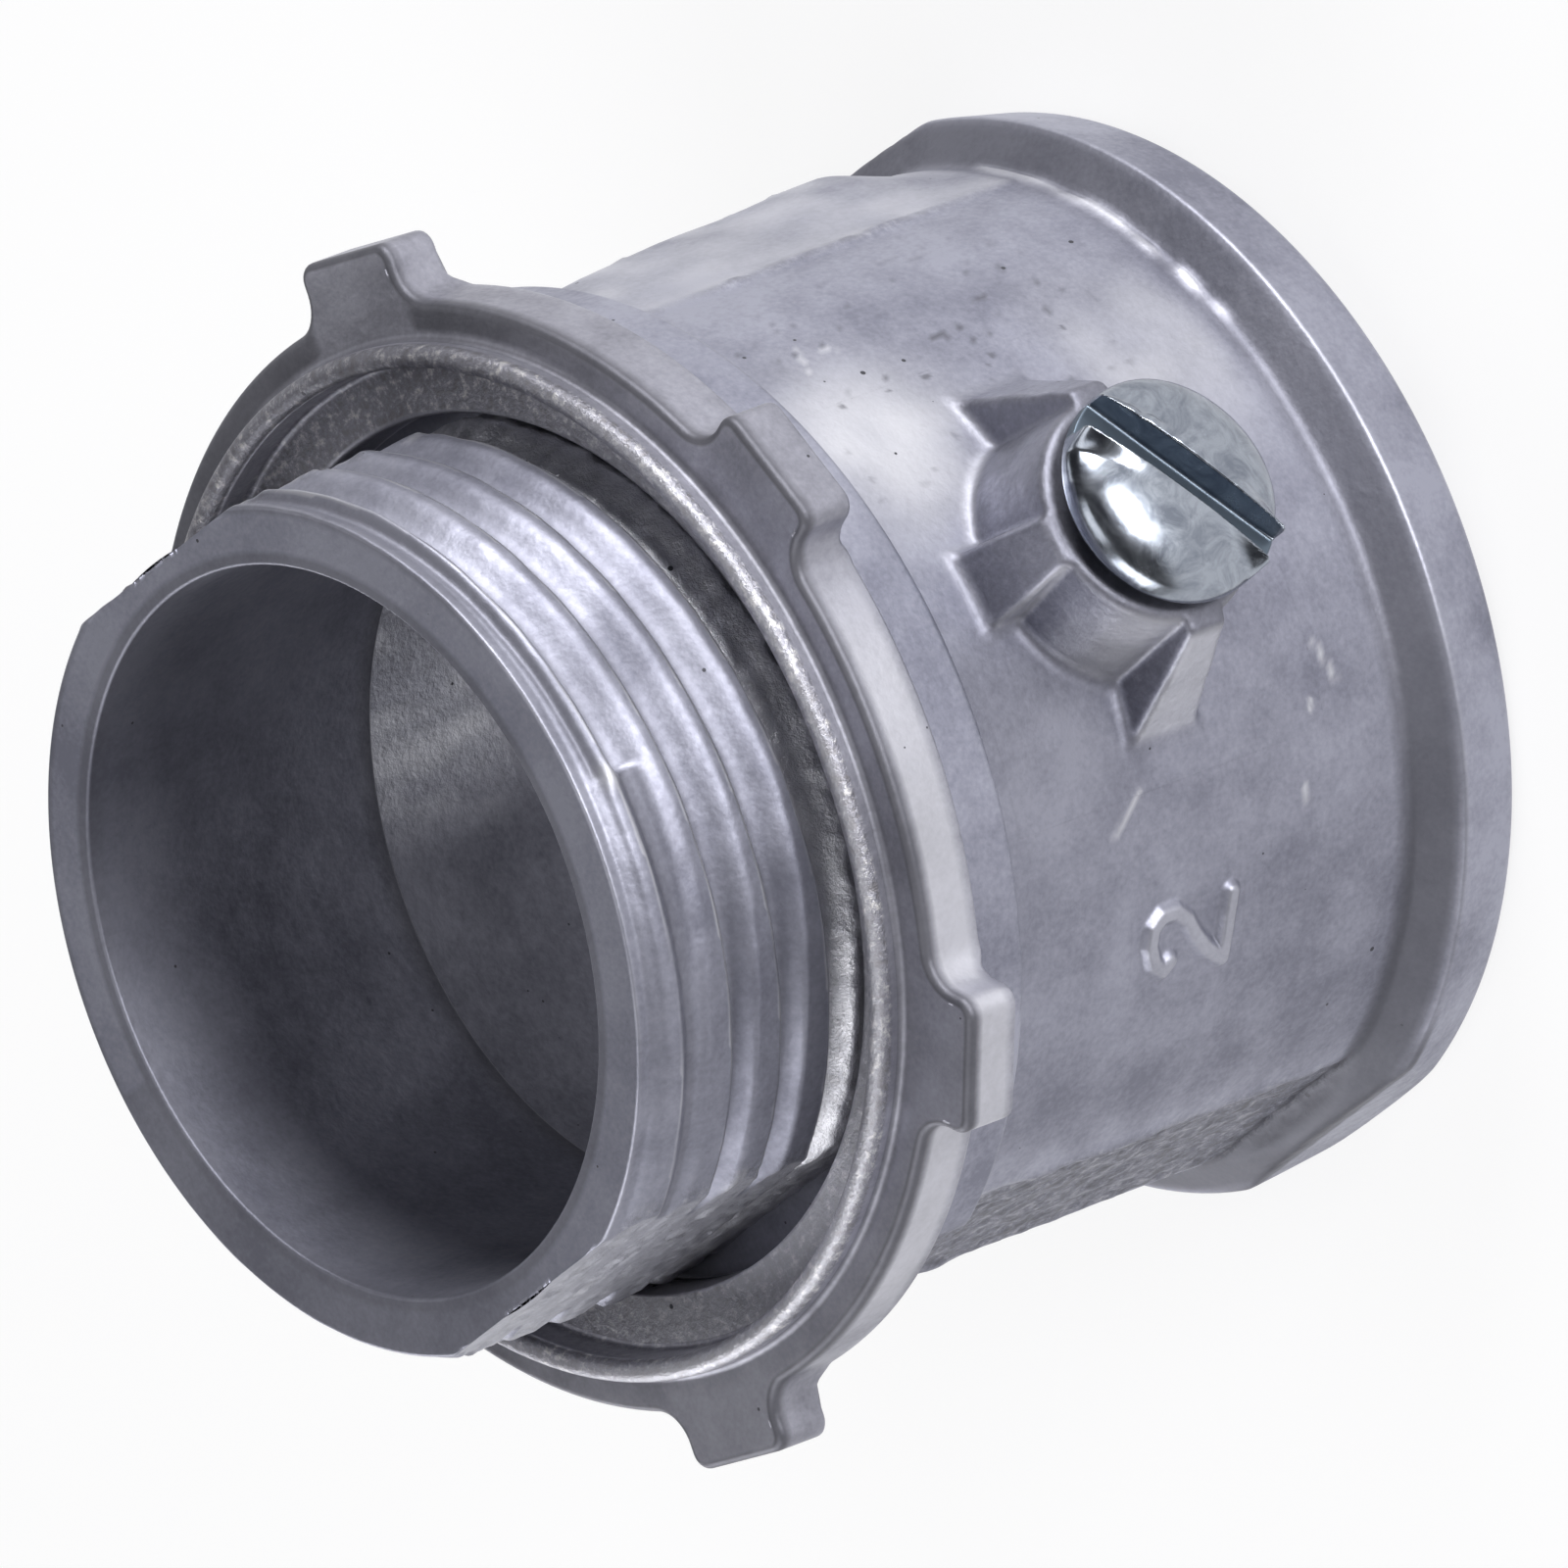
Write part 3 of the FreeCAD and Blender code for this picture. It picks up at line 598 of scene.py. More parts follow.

    # painted shade in the roots of the thread, on the face of the tip and one side of it, at its lip, inside
    # the throat and along the stop
    dark = (0.27 + smoothStep(0.25, 0.0, thread) * 0.2 * (1 - front) + 0.3 * groove * (1 - last)) * outside
    dark = dark * (1 - rough) * (1 - 0.6 * onFlat)
    tipFace = (height > s["tip"] - 0.1) & (radius > s["throat"] + 0.4)
    dark = np.maximum(dark, tipFace * (0.12 + 0.3 * smoothStep(-75, -95, degrees)))
    tipSide = (height > s["tip"] - 0.9) & (radius > s["rim"] - 0.3)
    dark = np.maximum(dark, 0.5 * tipSide * smoothStep(5, 30, degrees))
    lip = (radius < s["throat"] + 0.55) & (height > s["tip"] - 0.7)
    dark = np.maximum(dark, 0.55 * lip)
    stopEdge = np.exp(-((height - s["stop"] - 0.1) / 0.4) ** 2) * (radius < s["throat"] + 0.8)
    inner = (radius < s["throat"] + 0.2) & (height < s["tip"] - 0.6)
    dark = np.maximum(dark, np.maximum(inner * 0.3, 0.75 * stopEdge))
    torn = np.maximum(np.maximum(torn, nearFlat * 0.6), rough * 0.9)
    points = np.stack([cut * np.cos(angle), cut * np.sin(angle), height], -1).reshape(-1, 3)
    piece = makeMesh("castNose", points, gridFaces(len(path), len(angles)), castZinc,
                     {"torn": torn, "bright": bright, "dark": dark})
    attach(piece, "casting")


makeNose()
print("nose made")


# Surfaces of solids that blend into each other: points, quads and normals where the distance is zero
def blendedSurface(distance, low, high, step):
    axes = [np.arange(a, b + step, step) for a, b in zip(low, high)]
    grid = np.meshgrid(*axes, indexing="ij")
    value = distance(*grid)
    inside = value < 0
    shape = [n - 1 for n in inside.shape]
    cellSum = np.zeros(shape, np.int16)
    for corner in np.ndindex(2, 2, 2):
        cellSum += inside[tuple(slice(c, c + n) for c, n in zip(corner, shape))]
    active = (cellSum > 0) & (cellSum < 8)  # cells that the surface passes through
    index = -np.ones(shape, np.int64)
    index[active] = np.arange(active.sum())
    cells = np.argwhere(active)

    # each cell's point is the mean of the places where the surface crosses the cell's edges
    total = np.zeros((len(cells), 3))
    count = np.zeros(len(cells))
    for axis in range(3):
        others = [i for i in range(3) if i != axis]
        for offset in np.ndindex(2, 2):
            start = cells.copy()
            start[:, others[0]] += offset[0]
            start[:, others[1]] += offset[1]
            end = start.copy()
            end[:, axis] += 1
            a, b = value[tuple(start.T)], value[tuple(end.T)]
            crossing = (a < 0) != (b < 0)
            t = np.where(crossing, a / np.where(crossing, a - b, 1), 0)
            point = start.astype(float)
            point[:, axis] += t
            total[crossing] += point[crossing]
            count[crossing] += 1
    points = np.array(low) + total / count[:, None] * step

    # four cells meet at each crossed edge and give one quad, which faces away from the solid
    faces = []
    for axis in range(3):
        u, v = [i for i in range(3) if i != axis]
        size = list(inside.shape)
        size[axis] -= 1
        near = tuple(slice(0, n) for n in size)
        far = tuple(slice(1, n + 1) if i == axis else slice(0, n) for i, n in enumerate(size))
        change = inside[near] != inside[far]
        edges = np.argwhere(change)
        good = (edges[:, u] > 0) & (edges[:, v] > 0) & (edges[:, u] < shape[u]) & (edges[:, v] < shape[v])
        edges = edges[good]
        solidFirst = inside[tuple(edges.T)]
        quad = []
        for du, dv in ((0, 0), (-1, 0), (-1, -1), (0, -1)):
            cell = edges.copy()
            cell[:, u] += du
            cell[:, v] += dv
            quad.append(index[tuple(cell.T)])
        quad = np.stack(quad, -1)
        forward = solidFirst if axis != 1 else ~solidFirst
        quad[~forward] = quad[~forward][:, ::-1]
        faces.append(quad)
    faces = np.concatenate(faces)

    def slope(p, gap=1e-3):
        parts = []
        for axis in range(3):
            shift = np.zeros(3)
            shift[axis] = gap
            parts.append((distance(*(p + shift).T) - distance(*(p - shift).T)) / (2 * gap))
        return np.stack(parts, -1)

    for _ in range(3):  # the points move onto the true surface
        g = slope(points)
        points = points - g * (distance(*points.T) / np.maximum((g ** 2).sum(1), 1e-9))[:, None]
    g = slope(points)
    return points, faces, g / np.linalg.norm(g, axis=1)[:, None]


# Screw boss: drafted round boss with four ribs, run into the barrel by cast fillets
bossSizes = {
    "height": 15.8, "top": 23.15, "radius": 4.5, "draft": 7.0, "hole": 2.47, "edge": 0.3, "fillet": 0.5,
    "ribWidth": 1.75, "ribDraft": 8.0, "ribTop": 23.05, "root": 17.25, "foot": 19.05,
    "sideReach": 7.35, "sideShoulder": 5.0, "longReach": 6.1, "longShoulder": 4.7,
    "skirtAcross": 9.6, "skirtAlong": 8.3,
    "longExtra": 0.1,  # the ribs along the barrel are this much wider on each side
    "meshStep": 0.14, "meshLow": (16.0, -9.9, 6.5), "meshHigh": (23.6, 9.9, 25.1),
}


# how near a spot is to the border of the boss's piece on the barrel, which is at 1
def bossReach(y, up):
    return np.maximum(np.abs(y) / bossSizes["skirtAcross"], np.abs(up) / bossSizes["skirtAlong"])


def bossDistance(x, y, z):
    s = bossSizes
    up = z - s["height"]
    out = np.sqrt(y ** 2 + up ** 2)
    draft = math.radians(s["draft"])
    wall = (out - s["radius"] - (s["top"] - x) * math.tan(draft)) * math.cos(draft)
    boss = softMax(wall, x - s["top"], s["edge"] * 1.5)

    # a rib's sides are drafted, and its end slants from the shoulder at the top out to its foot
    def rib(across, along, extra, shoulder, reach, foot):
        half = s["ribWidth"] / 2 + (s["ribTop"] - x) * math.tan(math.radians(s["ribDraft"]))
        run, fall = reach - shoulder, s["ribTop"] - foot
        end = ((x - s["ribTop"]) * run + (np.abs(along) - shoulder) * fall) / math.hypot(run, fall)
        return softMax(softMax(np.abs(across) - half - extra, end, 0.4), x - s["ribTop"], s["edge"])

    side = rib(up, y, 0.0, s["sideShoulder"], s["sideReach"], s["root"])
    long = rib(y, up, s["longExtra"], s["longShoulder"], s["longReach"], s["foot"])
    solid = softMin(boss, softMin(side, long, 0.1), 0.25)
    reach = bossReach(y, up)
    skin = barrelSizes["barrel"] + 0.01 - 0.5 * smoothStep(0.93, 1.0, reach)
    skin = skin - 0.02 * smoothStep(0.85, 0.97, reach)
    barrel = np.sqrt(x ** 2 + y ** 2) - skin
    cast = softMin(solid, barrel, s["fillet"])
    cast = cast + 0.03 * valueNoise(np.stack([x, y, z], -1), 1.1, 31) * smoothStep(19.2, 20.0, x)
    return softMax(cast, s["hole"] - out, 0.15)


def makeBoss():
    s = bossSizes
    points, faces, normals = blendedSurface(bossDistance, s["meshLow"], s["meshHigh"], s["meshStep"])

    # only the outside and the bore are kept, and the bore ends at the socket's wall
    barrel, socket = barrelSizes["barrel"], barrelSizes["socket"]
    out = np.hypot(points[:, 0], points[:, 1])
    bore = np.hypot(points[:, 1], points[:, 2] - s["height"]) < s["hole"] + 0.3
    keep = (out > barrel - 0.35) | (bore & (out > socket - 0.12))
    faces = (np.cumsum(keep) - 1)[faces[keep[faces].all(1)]]
    points, normals = points[keep], normals[keep]
    inner = np.hypot(points[:, 0], points[:, 1]) < socket
    points[inner, 0] = np.sqrt(socket ** 2 - points[inner, 1] ** 2)

    # near its border the boss takes the barrel's own normals, so that no line shows where they meet
    out = np.hypot(points[:, 0], points[:, 1])
    border = smoothStep(0.75, 0.9, bossReach(points[:, 1], points[:, 2] - s["height"]))
    plain = ((out < barrel + 0.06) * border)[:, None]
    radial = np.stack([points[:, 0] / out, points[:, 1] / out, np.zeros(len(points))], -1)
    lower = smoothStep(0.4, 0.9, -normals[:, 1])
    upper = smoothStep(0.4, 0.9, normals[:, 2]) * smoothStep(-0.4, 0.0, normals[:, 1])
    # painted shade in the upward-facing fillets near the barrel
    cornerShade = smoothStep(0.12, 0.28, normals[:, 2]) * smoothStep(0.8, 0.6, normals[:, 2])
    cornerShade = cornerShade * smoothStep(21.5, 20.5, points[:, 0])
    normals = normals * (1 - plain) + radial * plain

    # on the barrel the skin takes the barrel's painted highlight, scratches, painted shade and specks; on the
    # boss the top and upper sides take painted shade and the lower sides a painted highlight
    highlightAndWear, shadeAndGrime = barrelLightAndWear(points)
    share = smoothStep(barrel + 0.5, barrel + 0.05, out)
    paintedShade = np.maximum(0.5 * smoothStep(22.5, 23.0, points[:, 0]), 0.35 * upper) * (1 - share)
    paintedShade = np.maximum(paintedShade, 0.4 * cornerShade)
    piece = makeMesh("castScrewBoss", points, faces, castZinc, {
        "torn": 0.15 * (1 - share), "bright": np.maximum(highlightAndWear * share, 0.45 * lower * (1 - share)),
        "dark": np.maximum(shadeAndGrime * share, paintedShade)}, normals)
    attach(piece, "casting")


makeBoss()
print("boss made")


# Cavity number: a raised figure on the barrel, as height and angle of points along its stroke
numberSizes = {
    "rise": 0.3, "halfWidth": 0.42,
    "lowHeight": 12.4, "highHeight": 18.81, "lowAngle": -53.0, "highAngle": -38.4,
    "stroke": [
        (16.52, -47.6), (16.85, -48.5), (17.3, -47.4), (17.54, -45.0), (17.42, -43.0), (16.95, -41.8),
        (16.27, -41.85), (15.72, -43.3), (15.3, -45.5), (14.7, -47.8), (13.89, -49.6), (13.79, -47.3),
        (13.67, -44.4), (13.5, -41.9)],
    "meshStep": 0.07, "meshDegrees": 0.21,
}


def makeNumber():
    s = numberSizes
    radius = barrelSizes["barrel"]
    heights = np.arange(s["lowHeight"], s["highHeight"], s["meshStep"])
    angles = np.radians(np.arange(s["lowAngle"], s["highAngle"], s["meshDegrees"]))
    height, angle = np.meshgrid(heights, angles, indexing="ij")
    across = radius * angle
    gap = np.full(height.shape, 9.0)
    stroke = [(h, radius * math.radians(a)) for h, a in s["stroke"]]
    for (h1, a1), (h2, a2) in zip(stroke, stroke[1:]):
        dh, da = h2 - h1, a2 - a1
        t = np.clip(((height - h1) * dh + (across - a1) * da) / (dh * dh + da * da), 0, 1)
        gap = np.minimum(gap, np.hypot(height - h1 - t * dh, across - a1 - t * da))
    rise = s["rise"] * smoothStep(s["halfWidth"] + 0.12, s["halfWidth"] - 0.3, gap)

    # the patch that carries the figure sinks into the barrel at its border
    edge = np.minimum.reduce([
        height - heights[0], heights[-1] - height, across - across.min(), across.max() - across])
    out = radius + 0.012 + rise - 0.3 * smoothStep(0.25, 0.0, edge) - 0.015 * smoothStep(0.9, 0.2, edge)
    points = np.stack([out * np.cos(angle), out * np.sin(angle), height], -1).reshape(-1, 3)
    highlightAndWear, shadeAndGrime = barrelLightAndWear(points)
    # painted highlight on the top of the raised figure, as if worn
    worn = 0.22 * smoothStep(0.5, 0.95, rise.ravel() / s["rise"])
    faces = gridFaces(len(heights), len(angles), False)[:, ::-1]
    piece = makeMesh("castCavityNumber", points, faces, castZinc,
                     {"torn": np.zeros(len(points)), "bright": np.maximum(highlightAndWear, worn), "dark": shadeAndGrime})
    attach(piece, "casting")


makeNumber()
print("cavity number made")


# Locknut: a ring with six lugs, a bead and a recess at its front
locknutSizes = {
    "bore": 16.68, "ring": 21.1, "tip": 23.24,
    "lugs": 6, "lugWidth": 5.4, "root": 1.45, "corner": 0.7, "turn": 16.0,
    "base": 27.54, "front": 30.25, "floor": 29.5, "beadIn": 18.85, "beadOut": 19.7, "beadTop": 31.38,
    "beadCrown": 0.5,  # height of the bead's rounded top
    "relief": 0.35,  # how far the lugs' underside stands off the collar
    "underside": 19.0,  # radius of the row of points in the middle of the underside
    "edge": 0.3, "lowEdge": 0.2, "pitch": 2.4, "threadDepth": 0.35,
}


# points round the outside of the locknut and the way that each faces: half a lug is made, mirrored and turned
def lugOutline():
    s = locknutSizes
    half = s["lugWidth"] / 2
    ring, root, corner, tip = s["ring"], s["root"], s["corner"], s["tip"]
    rootX = math.sqrt((ring + root) ** 2 - (half + root) ** 2)
    rootCentre = (rootX, half + root)
    cornerCentre = (tip - corner, half - corner)
    touch = math.atan2(half + root, rootX)
    points, normals = [], []

    def addArc(centre, radius, begin, end, steps, outward=1):
        for a in begin + (end - begin) * np.array(steps) / steps[-1]:
            across, up = math.cos(a), math.sin(a)
            points.append((centre[0] + radius * across, centre[1] + radius * up))
            normals.append((outward * across, outward * up))

    for i in range(7):
        points.append((tip, (half - corner) * i / 6))
        normals.append((1, 0))
    addArc(cornerCentre, corner, 0, math.pi / 2, range(1, 7))
    for i in range(1, 4):
        points.append((cornerCentre[0] + (rootCentre[0] - cornerCentre[0]) * i / 4, half))
        normals.append((0, 1))
    addArc(rootCentre, root, -math.pi / 2, touch - math.pi, range(11), -1)
    addArc((0, 0), ring, touch, math.pi / s["lugs"], range(1, 13))
    halfOutline = list(zip(points, normals))
    mirrored = [((x, -y), (nx, -ny)) for (x, y), (nx, ny) in halfOutline[1:-1]][::-1]
    one = mirrored + halfOutline
    allPoints, allNormals = [], []
    for k in range(s["lugs"]):
        a = math.radians(s["turn"] + 360.0 / s["lugs"] * k)
        turn = np.array([[math.cos(a), -math.sin(a)], [math.sin(a), math.cos(a)]])
        for p, n in one:
            allPoints.append(turn @ np.array(p))
            allNormals.append(turn @ np.array(n))
    return np.array(allPoints), np.array(allNormals)


def makeLocknut():
    s = locknutSizes
    edgePoints, edgeNormals = lugOutline()
    count = len(edgePoints)
    angle = np.arctan2(edgePoints[:, 1], edgePoints[:, 0])
    edgeRadius = np.hypot(edgePoints[:, 0], edgePoints[:, 1])
    lugShare = smoothStep(s["ring"] + 0.05, s["ring"] + 0.5, edgeRadius)
    direction = np.stack([np.cos(angle), np.sin(angle)], -1)
    rows, heights, torn, bright, dark = [], [], [], [], []

    # painted shade on the ring's face, mostly away from the screw, and a painted highlight on the side below
    # the screw
    degrees = np.degrees(angle)
    around = degrees % 360
    away = smoothStep(20, 65, around) * smoothStep(260, 210, around)
    faceShade = (0.12 + 0.58 * away) * (1 - 0.8 * lugShare)
    sideHighlight = 0.38 * smoothStep(10, -8, degrees) * smoothStep(-88, -72, degrees)

    def addRow(points, height, tornness=0.0, brightness=0.0, darkness=0.0):
        rows.append(points)
        for values, value in ((heights, height), (torn, tornness), (bright, brightness), (dark, darkness)):
            values.append(np.zeros(count) + value)

    def ringRow(radius, height, tornness=0.0, brightness=0.0, darkness=0.0):
        addRow(direction * radius, height, tornness, brightness, darkness)

    def edgeRow(inset, height, brightness=0.0, darkness=0.0):
        addRow(edgePoints - edgeNormals * inset, height, 0.0, brightness, darkness)

    # bore: shallow grooves of the thread, open where the nose has its flats
    turns = angle / (2 * math.pi)
    for height in np.linspace(s["base"], s["floor"], 18):
        groove = s["threadDepth"] * (1 - threadShape(height / s["pitch"] - turns))
        ease = min(1.0, (s["floor"] - height) / 0.15)
        ringRow((s["bore"] + groove * ease + 0.12 * (1 - ease))[:, None], height, 0.2, 0.3)

    # recess: a torn floor, painted bright towards the screw and with painted shade away from it, and a
    # rounded corner and the inside of the bead, both with painted shade
    for radius in np.linspace(s["bore"] + 0.25, s["beadIn"] - 0.25, 9):
        ringRow(radius, s["floor"], 0.75, 0.35 * (1 - away), 0.25 * away)
    for t in np.linspace(0, 1, 5):
        a = math.pi / 2 * t
        ringRow(s["beadIn"] - 0.2 + 0.2 * math.sin(a), s["floor"] + 0.2 * (1 - math.cos(a)), 0.5, 0.0, 0.15)
    for height in np.linspace(s["floor"] + 0.45, s["beadTop"] - s["beadCrown"], 6):
        ringRow(s["beadIn"], height, 0.15, 0.0, 0.1)

    # bead: its rounded, torn top and its outside, with a rounded corner at the ring's face; a painted
    # highlight along the top towards the screw, painted shade on the top away from it and in the corner
    middle, half = (s["beadOut"] + s["beadIn"]) / 2, (s["beadOut"] - s["beadIn"]) / 2
    for t in np.linspace(0, 1, 15):
        a = math.pi * t
        height = s["beadTop"] - s["beadCrown"] * (1 - math.sin(a) ** 0.8)
        ringRow(middle - half * math.cos(a), height, 0.75, 0.3 * math.sin(a) * (1 - away), 0.35 * away)
    for height in np.linspace(s["beadTop"] - 0.65, s["front"] + 0.3, 4):
        ringRow(s["beadOut"], height)
    for t in np.linspace(0, 1, 5):
        a = math.pi / 2 * t
        ringRow(s["beadOut"] + 0.25 * (1 - math.cos(a)), s["front"] + 0.25 * (1 - math.sin(a)), 0.0, 0.0, 0.4)

    # face of the ring and the lugs, and their sides down to a rounded lower edge; painted shade on the face
    # and its upper edge, a painted highlight on the sides below the screw and painted shade on the other
    # sides
    edge = s["edge"]
    start = rows[-1]
    target = edgePoints - edgeNormals * (edge + 0.05)
    for t in (0.25, 0.5, 0.75, 1.0):
        addRow(start + (target - start) * t, s["front"], 0.0, 0.0, faceShade)
    for t in np.linspace(0.15, 1, 6):
        a = math.pi / 2 * t
        edgeRow(edge * (1 - math.sin(a)), s["front"] - edge * (1 - math.cos(a)), 0.0, 0.75)
    low, lowEdge = s["base"] + s["relief"] * lugShare, s["lowEdge"]
    for t in (0.2, 0.4, 0.6, 0.8):
        edgeRow(0.0, (s["front"] - edge) * (1 - t) + (low + lowEdge) * t, sideHighlight, 0.14 * (sideHighlight < 0.1))
    for t in np.linspace(0, 1, 4):
        a = math.pi / 2 * t
        edgeRow(lowEdge * (1 - math.cos(a)), low + lowEdge * (1 - math.sin(a)))

    # underside, back to the bore
    lowRing = direction * np.minimum(edgeRadius, s["ring"] - 0.25)[:, None]
    for t in (0.5, 1.0):
        addRow((edgePoints - edgeNormals * lowEdge) * (1 - t) + lowRing * t, low * (1 - t) + s["base"] * t)
    ringRow(s["underside"], s["base"])
    ringRow(s["bore"], s["base"])

    points = np.dstack([np.array(rows), np.array(heights)]).reshape(-1, 3)
    piece = makeMesh("castLocknut", points, gridFaces(len(rows), count)[:, ::-1], locknutZinc,
                     {"torn": np.array(torn), "bright": np.array(bright), "dark": np.array(dark)})
    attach(piece, "nut")
    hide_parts("locknut")


makeLocknut()
print("locknut made")


# Set screw: domed slotted head and a threaded shank
screwSizes = {
    "height": 15.8, "headBase": 24.0, "headRadius": 4.36, "headHeight": 2.17, "headSide": 0.3,
    "crownFlat": 0.55, "slotWidth": 1.5, "slotDepth": 1.4, "slotAngle": 34.0, "burr": 0.1,
    "shank": 2.41, "tip": 17.05, "pitch": 1.06, "threadDepth": 0.36,
    "meshStep": 0.075, "meshLow": (23.7, -4.8, 11.0), "meshHigh": (26.6, 4.8, 20.6),
}


# the head is level along its slot and falls away on both sides to its rim
def headDistance(x, y, z):
    s = screwSizes
    up = z - s["height"]
    a = math.radians(s["slotAngle"])
    across, along = up * math.cos(a) - y * math.sin(a), y * math.cos(a) + up * math.sin(a)
    side = np.maximum(np.abs(across) - s["crownFlat"], 0)
    reach = s["headRadius"] - s["crownFlat"]
    spread = (side / reach) ** 2 + (along / s["headRadius"]) ** 2 * smoothStep(-0.2, 0.9, side)
    dome = np.sqrt(np.maximum(1 - spread, 0.01))
    crown = s["headBase"] + s["headSide"] + (s["headHeight"] - s["headSide"]) * dome
    head = softMax((x - crown) * 0.8, np.hypot(across, along) - s["headRadius"], 0.25)
    head = softMax(head, s["headBase"] - x, 0.3)
    spot = np.stack([x, y, z], -1)
    burr = np.exp(-((across + s["slotWidth"] / 2 + 0.25) / 0.22) ** 2)
    burr *= smoothStep(3.2, 2.2, np.abs(along - 0.6))
    burr *= smoothStep(-0.3, 0.6, valueNoise(spot, 0.6, 33))
    floor = s["headBase"] + s["headHeight"] - s["slotDepth"]
    slot = softMax(np.abs(across) - s["slotWidth"] / 2, floor - x, 0.15)
    return softMax(head - s["burr"] * burr, -slot, 0.08)


def makeScrew():
    s = screwSizes
    points, faces, normals = blendedSurface(headDistance, s["meshLow"], s["meshHigh"], s["meshStep"])
    a = math.radians(s["slotAngle"])
    across = -points[:, 1] * math.sin(a) + (points[:, 2] - s["height"]) * math.cos(a)
    floor = s["headBase"] + s["headHeight"] - s["slotDepth"]
    dark = smoothStep(s["slotWidth"] / 2 + 0.02, s["slotWidth"] / 2 - 0.1, np.abs(across))
    dark = dark * (points[:, 0] < floor + 1.2)  # painted shade inside the slot
    head = makeMesh("setScrewHead", points, faces, platedSteel, {"dark": dark}, normals)
    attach(head, "screw")
    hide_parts("set_screw")

    along = np.arange(s["tip"] + 0.5, s["headBase"] + 0.3, 0.1)
    angles = np.radians(np.arange(0, 360, 5.0))
    x, angle = np.meshgrid(along, angles, indexing="ij")
    turns = x / s["pitch"] - angle / (2 * math.pi)
    out = s["shank"] - s["threadDepth"] * (1 - threadShape(turns))
    shank = np.stack([x, out * np.cos(angle), out * np.sin(angle) + s["height"]], -1)
    tip = []
    for radius in (0.02, 1.2, s["shank"] - 0.5):
        y, z = radius * np.cos(angles), radius * np.sin(angles) + s["height"]
        tip.append(np.stack([np.full(len(angles), s["tip"]), y, z], -1))
    points = np.concatenate([np.array(tip), shank]).reshape(-1, 3)
    faces = gridFaces(len(tip) + len(along), len(angles))[:, ::-1]
    # the shank is darkened all over with painted shade, as it sits in the hole
    piece = makeMesh("setScrewShank", points, faces, platedSteel, {"dark": np.full(len(points), 0.3)})
    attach(piece, "screw")


makeScrew()
print("set screw made")


# Studio: a pale floor, a white backdrop and soft lamps
studio = {
    "floorColor": "#f2f2f4",
    "floorHalf": 2.0,
    "floorShare": 0.8,  # share of plain white in the floor, which keeps the shadow in the rest
    "roomColor": "#f0f1f4",
    "roomStrength": 0.06,
    "backdropTop": 0.05,  # the white backdrop's height, as the sine of the angle above the floor
    "backdropFade": 0.15,
}

# place in metres, width and height in metres, power in watts
lamps = {
    "frontSoftbox": {"place": (0.495, 0.00, 0.09), "size": (0.20, 0.10), "power": 2.1},
    "keySoftbox": {"place": (0.318, 0.379, 0.09), "size": (0.20, 0.10), "power": 2.3},
    "backSoftbox": {"place": (-0.44, -0.20, 0.14), "size": (0.30, 0.20), "power": 1.3},
    "sideSoftbox": {"place": (-0.09, -0.38, 0.33), "size": (0.30, 0.30), "power": 1.3},
    "rearSoftbox": {"place": (-0.28, 0.28, 0.33), "size": (0.30, 0.30), "power": 0.5},
    "topSoftbox": {"place": (0.10, 0.00, 0.50), "size": (0.30, 0.30), "power": 0.5},
}


# 1 where the camera, a mirror or a glass looks at the background itself
def seenBackground(tree):
    rays = addNode(tree, "ShaderNodeLightPath")
    mirrored = addNode(tree, "ShaderNodeMath", {"operation": "MAXIMUM"}, {
        0: rays.outputs["Is Glossy Ray"], 1: rays.outputs["Is Transmission Ray"]}).outputs[0]
    return addNode(tree, "ShaderNodeMath", {"operation": "MAXIMUM"}, {
        0: rays.outputs["Is Camera Ray"], 1: mirrored}).outputs[0]


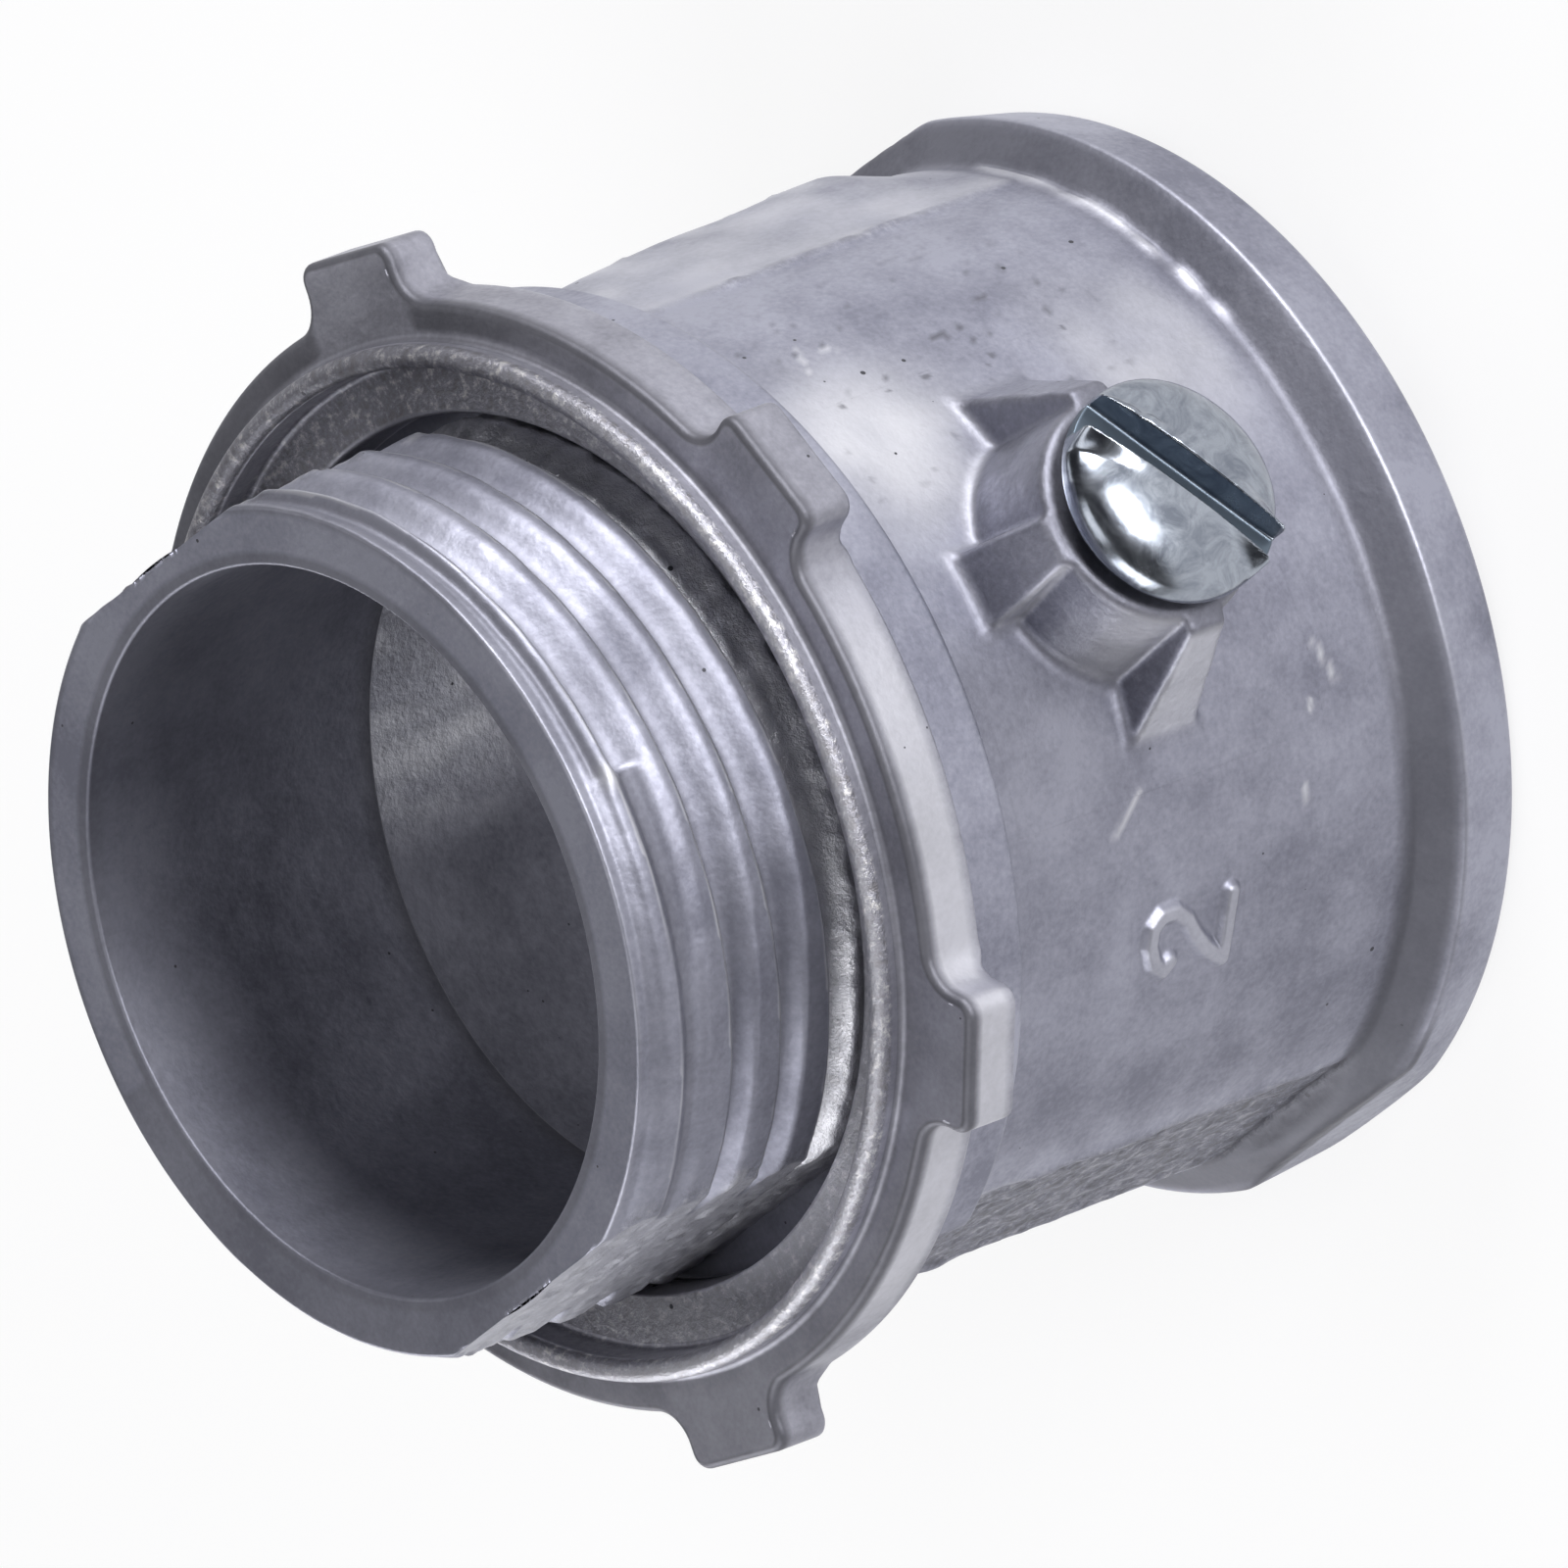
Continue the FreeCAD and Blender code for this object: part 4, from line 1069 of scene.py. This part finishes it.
def makeStudio():
    half = studio["floorHalf"]
    mesh = bpy.data.meshes.new("studioFloor")
    corners = [(-half, -half, 0), (half, -half, 0), (half, half, 0), (-half, half, 0)]
    mesh.from_pydata(corners, [], [(0, 1, 2, 3)])
    floor = bpy.data.objects.new("studioFloor", mesh)
    bpy.context.scene.collection.objects.link(floor)
    material = bpy.data.materials.new("paleFloor")
    material.use_nodes = True
    tree = material.node_tree
    tree.nodes.clear()
    share = addNode(tree, "ShaderNodeMath", {"operation": "MULTIPLY"}, {
        0: seenBackground(tree), 1: studio["floorShare"]}).outputs[0]
    card = addNode(tree, "ShaderNodeBsdfDiffuse", None, {"Color": linearColor(studio["floorColor"])})
    white = addNode(tree, "ShaderNodeEmission", None, {"Color": (1, 1, 1, 1), "Strength": 1.0})
    mix = addNode(tree, "ShaderNodeMixShader", None, {0: share, 1: card.outputs[0], 2: white.outputs[0]})
    addNode(tree, "ShaderNodeOutputMaterial", None, {"Surface": mix.outputs[0]})
    mesh.materials.append(material)

    world = bpy.data.worlds.new("studioWorld")
    bpy.context.scene.world = world
    world.use_nodes = True
    tree = world.node_tree
    tree.nodes.clear()
    toward = addNode(tree, "ShaderNodeTexCoord").outputs["Generated"]
    upward = addNode(tree, "ShaderNodeSeparateXYZ", None, {"Vector": toward}).outputs["Z"]
    wall = addNode(tree, "ShaderNodeMapRange", None, {
        "Value": upward, "From Min": studio["backdropTop"],
        "From Max": studio["backdropTop"] + studio["backdropFade"], "To Min": 1.0, "To Max": 0.0}).outputs[0]
    seen = addNode(tree, "ShaderNodeMath", {"operation": "MULTIPLY"}, {
        0: seenBackground(tree), 1: wall}).outputs[0]
    room = addNode(tree, "ShaderNodeBackground", None, {
        "Color": linearColor(studio["roomColor"]), "Strength": studio["roomStrength"]})
    white = addNode(tree, "ShaderNodeBackground", None, {"Color": (1, 1, 1, 1), "Strength": 1.0})
    mix = addNode(tree, "ShaderNodeMixShader", None, {0: seen, 1: room.outputs[0], 2: white.outputs[0]})
    addNode(tree, "ShaderNodeOutputWorld", None, {"Surface": mix.outputs[0]})

    for name, lamp in lamps.items():
        light = bpy.data.lights.new(name, "AREA")
        light.shape = "RECTANGLE"
        light.size, light.size_y = lamp["size"]
        light.energy = lamp["power"]
        holder = bpy.data.objects.new(name, light)
        bpy.context.scene.collection.objects.link(holder)
        holder.location = lamp["place"]
        aim = Vector((0, 0, 0.02)) - holder.location
        holder.rotation_euler = aim.to_track_quat("-Z", "Y").to_euler()
    bpy.context.scene.view_settings.view_transform = "Standard"


makeStudio()
print("studio made")
